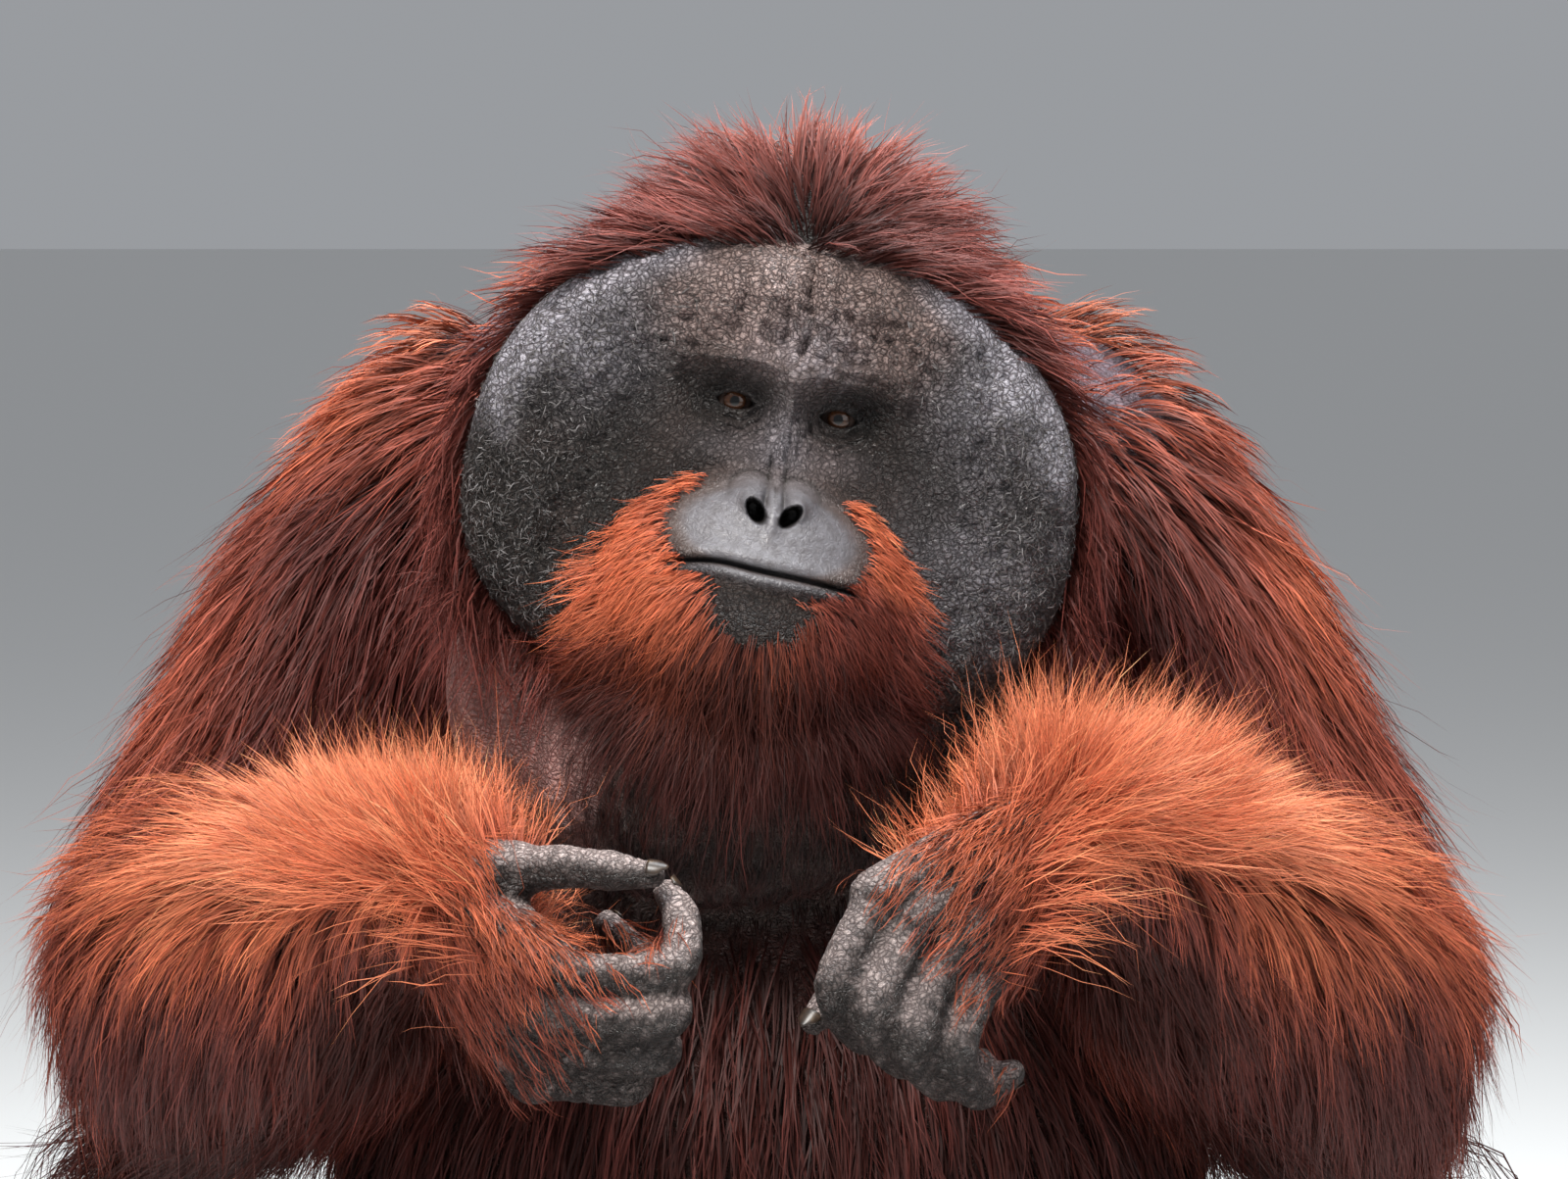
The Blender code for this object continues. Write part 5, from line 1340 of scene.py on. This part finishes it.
def add_nail(bm, tip, onward, dorsal, radius, longer):
    """A curved plate on the back of a fingertip, with its free edge past the tip."""
    onward = Vector(onward).normalized()
    dorsal = (Vector(dorsal) - onward * Vector(dorsal).dot(onward)).normalized()
    side = onward.cross(dorsal)
    rows, columns = 9, 11
    layers = []
    for thick in (0.0, 0.0007):
        grid = []
        for i in range(rows):
            v = i / (rows - 1)
            line = []
            for j in range(columns):
                u = 2 * j / (columns - 1) - 1
                angle = u * math.radians(52) * (1.0 - 0.45 * v**3)
                shrink = 1.0 - 0.36 * (u * v) ** 2
                reach = radius * (-0.35 + (1.45 + longer) * v * shrink + 0.10 * (1 - v) * u * u)
                out = radius * (1.035 - 0.16 * v * v) + thick
                around = dorsal * math.cos(angle) + side * math.sin(angle)
                line.append(bm.verts.new(Vector(tip) + onward * reach + around * out))
            grid.append(line)
        layers.append(grid)
    lower, upper = layers
    for i in range(rows - 1):
        for j in range(columns - 1):
            bm.faces.new((upper[i][j], upper[i][j + 1], upper[i + 1][j + 1], upper[i + 1][j]))
            bm.faces.new((lower[i][j], lower[i + 1][j], lower[i + 1][j + 1], lower[i][j + 1]))
    rim = [(i, 0) for i in range(rows)] + [(rows - 1, j) for j in range(1, columns)]
    rim += [(i, columns - 1) for i in range(rows - 2, -1, -1)] + [(0, j) for j in range(columns - 2, 0, -1)]
    for (i, j), (k, m) in zip(rim, rim[1:] + rim[:1]):
        bm.faces.new((lower[i][j], lower[k][m], upper[k][m], upper[i][j]))


def make_nails():
    bm = bmesh.new()

    def add(knots, radius, longer, dorsal=None):
        bend = knots[2] - (knots[1] + knots[3]) / 2
        add_nail(bm, knots[3], knots[3] - knots[2], dorsal or bend, radius, longer)

    for side in ("right", "left"):
        for name, points in DIGITS[side].items():
            knots = [Vector(point) for point in points]
            if name == "thumb":
                add(knots, THUMB_RADII[-1], 0.12, THUMB_BACKS[side])
            else:
                add(knots, DIGIT_RADII[-1], 0.0)
        for name, knots in toes_of(side).items():
            add(knots, BIG_TOE_RADII[-1] if name == "big_toe" else TOE_RADII[-1], 0.1)
    bmesh.ops.recalc_face_normals(bm, faces=bm.faces[:])
    nails = object_of("nails", bm)
    shade_smooth(nails)
    return nails


# ---------------------------------------------------------------- materials


class Nodes:
    """Short ways to add nodes to one material. A value is linked where it is a socket, and set where it isn't."""

    def __init__(self, name):
        self.material = bpy.data.materials.new(name)
        self.material.use_nodes = True
        self.tree = self.material.node_tree

    def put(self, socket, value):
        if isinstance(value, bpy.types.NodeSocket):
            self.tree.links.new(value, socket)
        else:
            socket.default_value = value

    def fill(self, node, values):
        for key, value in values.items():
            label = key.replace("_", " ")
            if label in node.inputs:
                self.put(node.inputs[label], value)
            else:
                setattr(node, key, value)

    def add(self, kind, out, places=(), **values):
        """Adds a node, with inputs given by place or by name, and returns one of its outputs."""
        node = self.tree.nodes.new(f"ShaderNode{kind}")
        self.fill(node, values)
        for place, value in dict(places).items():
            self.put(node.inputs[place], value)
        return node.outputs[out]

    def ramp(self, source, stops):
        """A blend of tones, each at its own value of the source."""
        node = self.tree.nodes.new("ShaderNodeValToRGB")
        blend = node.color_ramp.elements
        for element, (place, tone) in ((blend[0], stops[0]), (blend[1], stops[-1])):
            element.position, element.color = place, (*tone, 1.0)
        for place, tone in stops[1:-1]:
            blend.new(place).color = (*tone, 1.0)
        self.tree.links.new(source, node.inputs["Fac"])
        return node.outputs["Color"]

    def finish(self, **values):
        """Fills the shader, and returns the material."""
        self.fill(self.tree.nodes["Principled BSDF"], values)
        return self.material


def skin_material():
    """Creased leather: its tone from the skin's tone attribute, with painted shade in the creases, and a soft shine."""
    nodes = Nodes("bare_skin")
    tone = nodes.add("Attribute", "Color", attribute_name="tone")
    rough = nodes.add("Attribute", "Fac", attribute_name="rough")
    place = nodes.add("TexCoord", "Object")
    warp = nodes.add("TexNoise", "Color", Vector=place, Scale=90.0, Detail=3.0)
    bent = nodes.add("VectorMath", "Vector", {0: warp, 1: (0.012, 0.012, 0.006), 2: place}, operation="MULTIPLY_ADD")
    coarse = nodes.add("TexVoronoi", "Distance", feature="DISTANCE_TO_EDGE", Vector=bent, Scale=270.0)
    fine = nodes.add("TexVoronoi", "Distance", feature="DISTANCE_TO_EDGE", Vector=bent, Scale=720.0)
    grain = nodes.add("TexNoise", "Fac", Vector=place, Scale=900.0, Detail=3.0)
    coarse_edge = nodes.add("MapRange", "Result", interpolation_type="SMOOTHSTEP", Value=coarse, From_Max=0.30)
    fine_edge = nodes.add("MapRange", "Result", interpolation_type="SMOOTHSTEP", Value=fine, From_Max=0.22)
    edges = nodes.add("Math", "Value", {0: fine_edge, 1: 0.45, 2: coarse_edge}, operation="MULTIPLY_ADD")
    grained = nodes.add("Math", "Value", {0: grain, 1: 0.35, 2: edges}, operation="MULTIPLY_ADD")
    height = nodes.add("Math", "Value", {0: grained, 1: rough}, operation="MULTIPLY")
    bump = nodes.add("Bump", "Normal", Strength=1.0, Distance=0.0024, Height=height)
    # Painted shade: the tone is darkened along the edges of the coarse cells, the creases, as far as rough allows
    crease = nodes.ramp(coarse, ((0.0, (0.16, 0.14, 0.14)), (0.20, (1.15, 1.15, 1.15))))
    darker = nodes.add("Mix", 2, {6: tone, 7: crease}, data_type="RGBA", blend_type="MULTIPLY", Factor=rough)
    shine = nodes.add("MapRange", "Result", Value=grain, To_Min=0.24, To_Max=0.46)
    return nodes.finish(Base_Color=darker, Normal=bump, Roughness=shine, Specular_IOR_Level=0.50)


def toned_material(name, **values):
    """A plain finish whose colour is the tone kept on the mesh, with any light or shade painted into it."""
    nodes = Nodes(name)
    return nodes.finish(Base_Color=nodes.add("Attribute", "Color", attribute_name="tone"), **values)


def nail_material():
    """Dark horn with paler streaks."""
    nodes = Nodes("nail")
    streaks = nodes.add("TexNoise", "Fac", Vector=nodes.add("TexCoord", "Object"), Scale=160.0, Detail=3.0)
    stops = ((0.30, (0.014, 0.009, 0.007)), (0.58, (0.045, 0.028, 0.018)), (0.80, (0.150, 0.100, 0.050)))
    tone = nodes.ramp(streaks, stops)
    bump = nodes.add("Bump", "Normal", Strength=0.25, Distance=0.0004, Height=streaks)
    return nodes.finish(Base_Color=tone, Normal=bump, Roughness=0.34, Specular_IOR_Level=0.5)


# ---------------------------------------------------------------- the scene


def skin_roughness(points, parts):
    """How strongly the creases show: most on the cheek pads and hands, hardly on the lip, nose and lids."""
    x, z, front = face_places(points)
    side, reach = np.abs(x), face_reach(x, z)
    value = np.full(len(points), 0.55)
    lip = smooth(1.15, 0.85, np.hypot(x / 0.058, (z + 0.038) / 0.030))
    lip = clamp(lip + hump(side, z, 0.012, -0.016, 0.018, 0.016))
    face = (0.75 + 0.25 * smooth(0.45, 0.70, reach)) * (1 - 0.88 * lip)
    face *= 1 - 0.75 * hump(side, z, EYE_APART, EYE_UP, 0.014, 0.010)
    value[front] = face[front]
    for number, name in enumerate(PARTS):
        if name.startswith(("hand", "foot")):
            value[parts == number] = 0.80
    return value


def add_light(name, place, size, power, tone):
    light = bpy.data.lights.new(name, "AREA")
    light.size, light.energy, light.color = size, power, tone
    obj = add_object(name, light)
    obj.location = place
    obj.rotation_euler = (Vector(LIT_MIDDLE) - Vector(place)).to_track_quat("-Z", "Y").to_euler()


def make_stage():
    """Floor, soft light and the camera."""
    bm = bmesh.new()
    bmesh.ops.create_grid(bm, x_segments=2, y_segments=2, size=30.0)
    floor = object_of("studio_floor", bm)
    floor.data.materials.append(Nodes("studio_floor").finish(Base_Color=(0.80, 0.80, 0.79, 1.0), Roughness=0.85))
    world = bpy.data.worlds.new("studio")
    world.use_nodes = True
    sky = world.node_tree.nodes["Background"].inputs
    sky["Color"].default_value, sky["Strength"].default_value = (0.84, 0.87, 0.92, 1.0), 0.38
    bpy.context.scene.world = world
    for name, light in LIGHTS.items():
        add_light(name, *light)
    camera = bpy.data.cameras.new("camera")
    camera.sensor_width = SENSOR
    camera.lens = SENSOR * CAMERA_FAR / (PHOTO_WIDE * METRES_A_PIXEL)
    camera.clip_end = 100.0
    eye = add_object("camera", camera)
    back = Vector((0.0, -math.cos(CAMERA_DOWN), math.sin(CAMERA_DOWN)))
    eye.location = CAMERA_AIM + back * CAMERA_FAR
    eye.rotation_euler = (-back).to_track_quat("-Z", "Y").to_euler()
    bpy.context.scene.camera = eye
    bpy.context.scene.view_settings.view_transform = "Standard"


def main():
    make_stage()
    skin = make_skin()
    points, normals = points_of(skin), normals_of(skin)
    parts = part_of(points)
    set_tones(skin, "tone", skin_tones(points, normals, parts))
    layer = skin.data.attributes.new("rough", "FLOAT", "POINT")
    layer.data.foreach_set("value", skin_roughness(points, parts).astype(np.float32))
    skin.data.materials.append(skin_material())
    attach(skin, "root")
    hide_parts(*[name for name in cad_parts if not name.startswith("eye")])
    hair = toned_material("coat", Roughness=0.55, Specular_IOR_Level=0.24)
    for piece in make_coats(Surface(skin)):
        piece.data.materials.append(hair)
        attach(piece, "root")
    wet = toned_material("eye", Roughness=0.10, Specular_IOR_Level=0.40, Coat_Weight=0.15, Coat_Roughness=0.02)
    for name in ("eye_right", "eye_left"):
        eye = make_eye(name)
        eye.data.materials.append(wet)
        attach(eye, "root")
        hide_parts(name)
    nails = make_nails()
    nails.data.materials.append(nail_material())
    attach(nails, "root")


main()
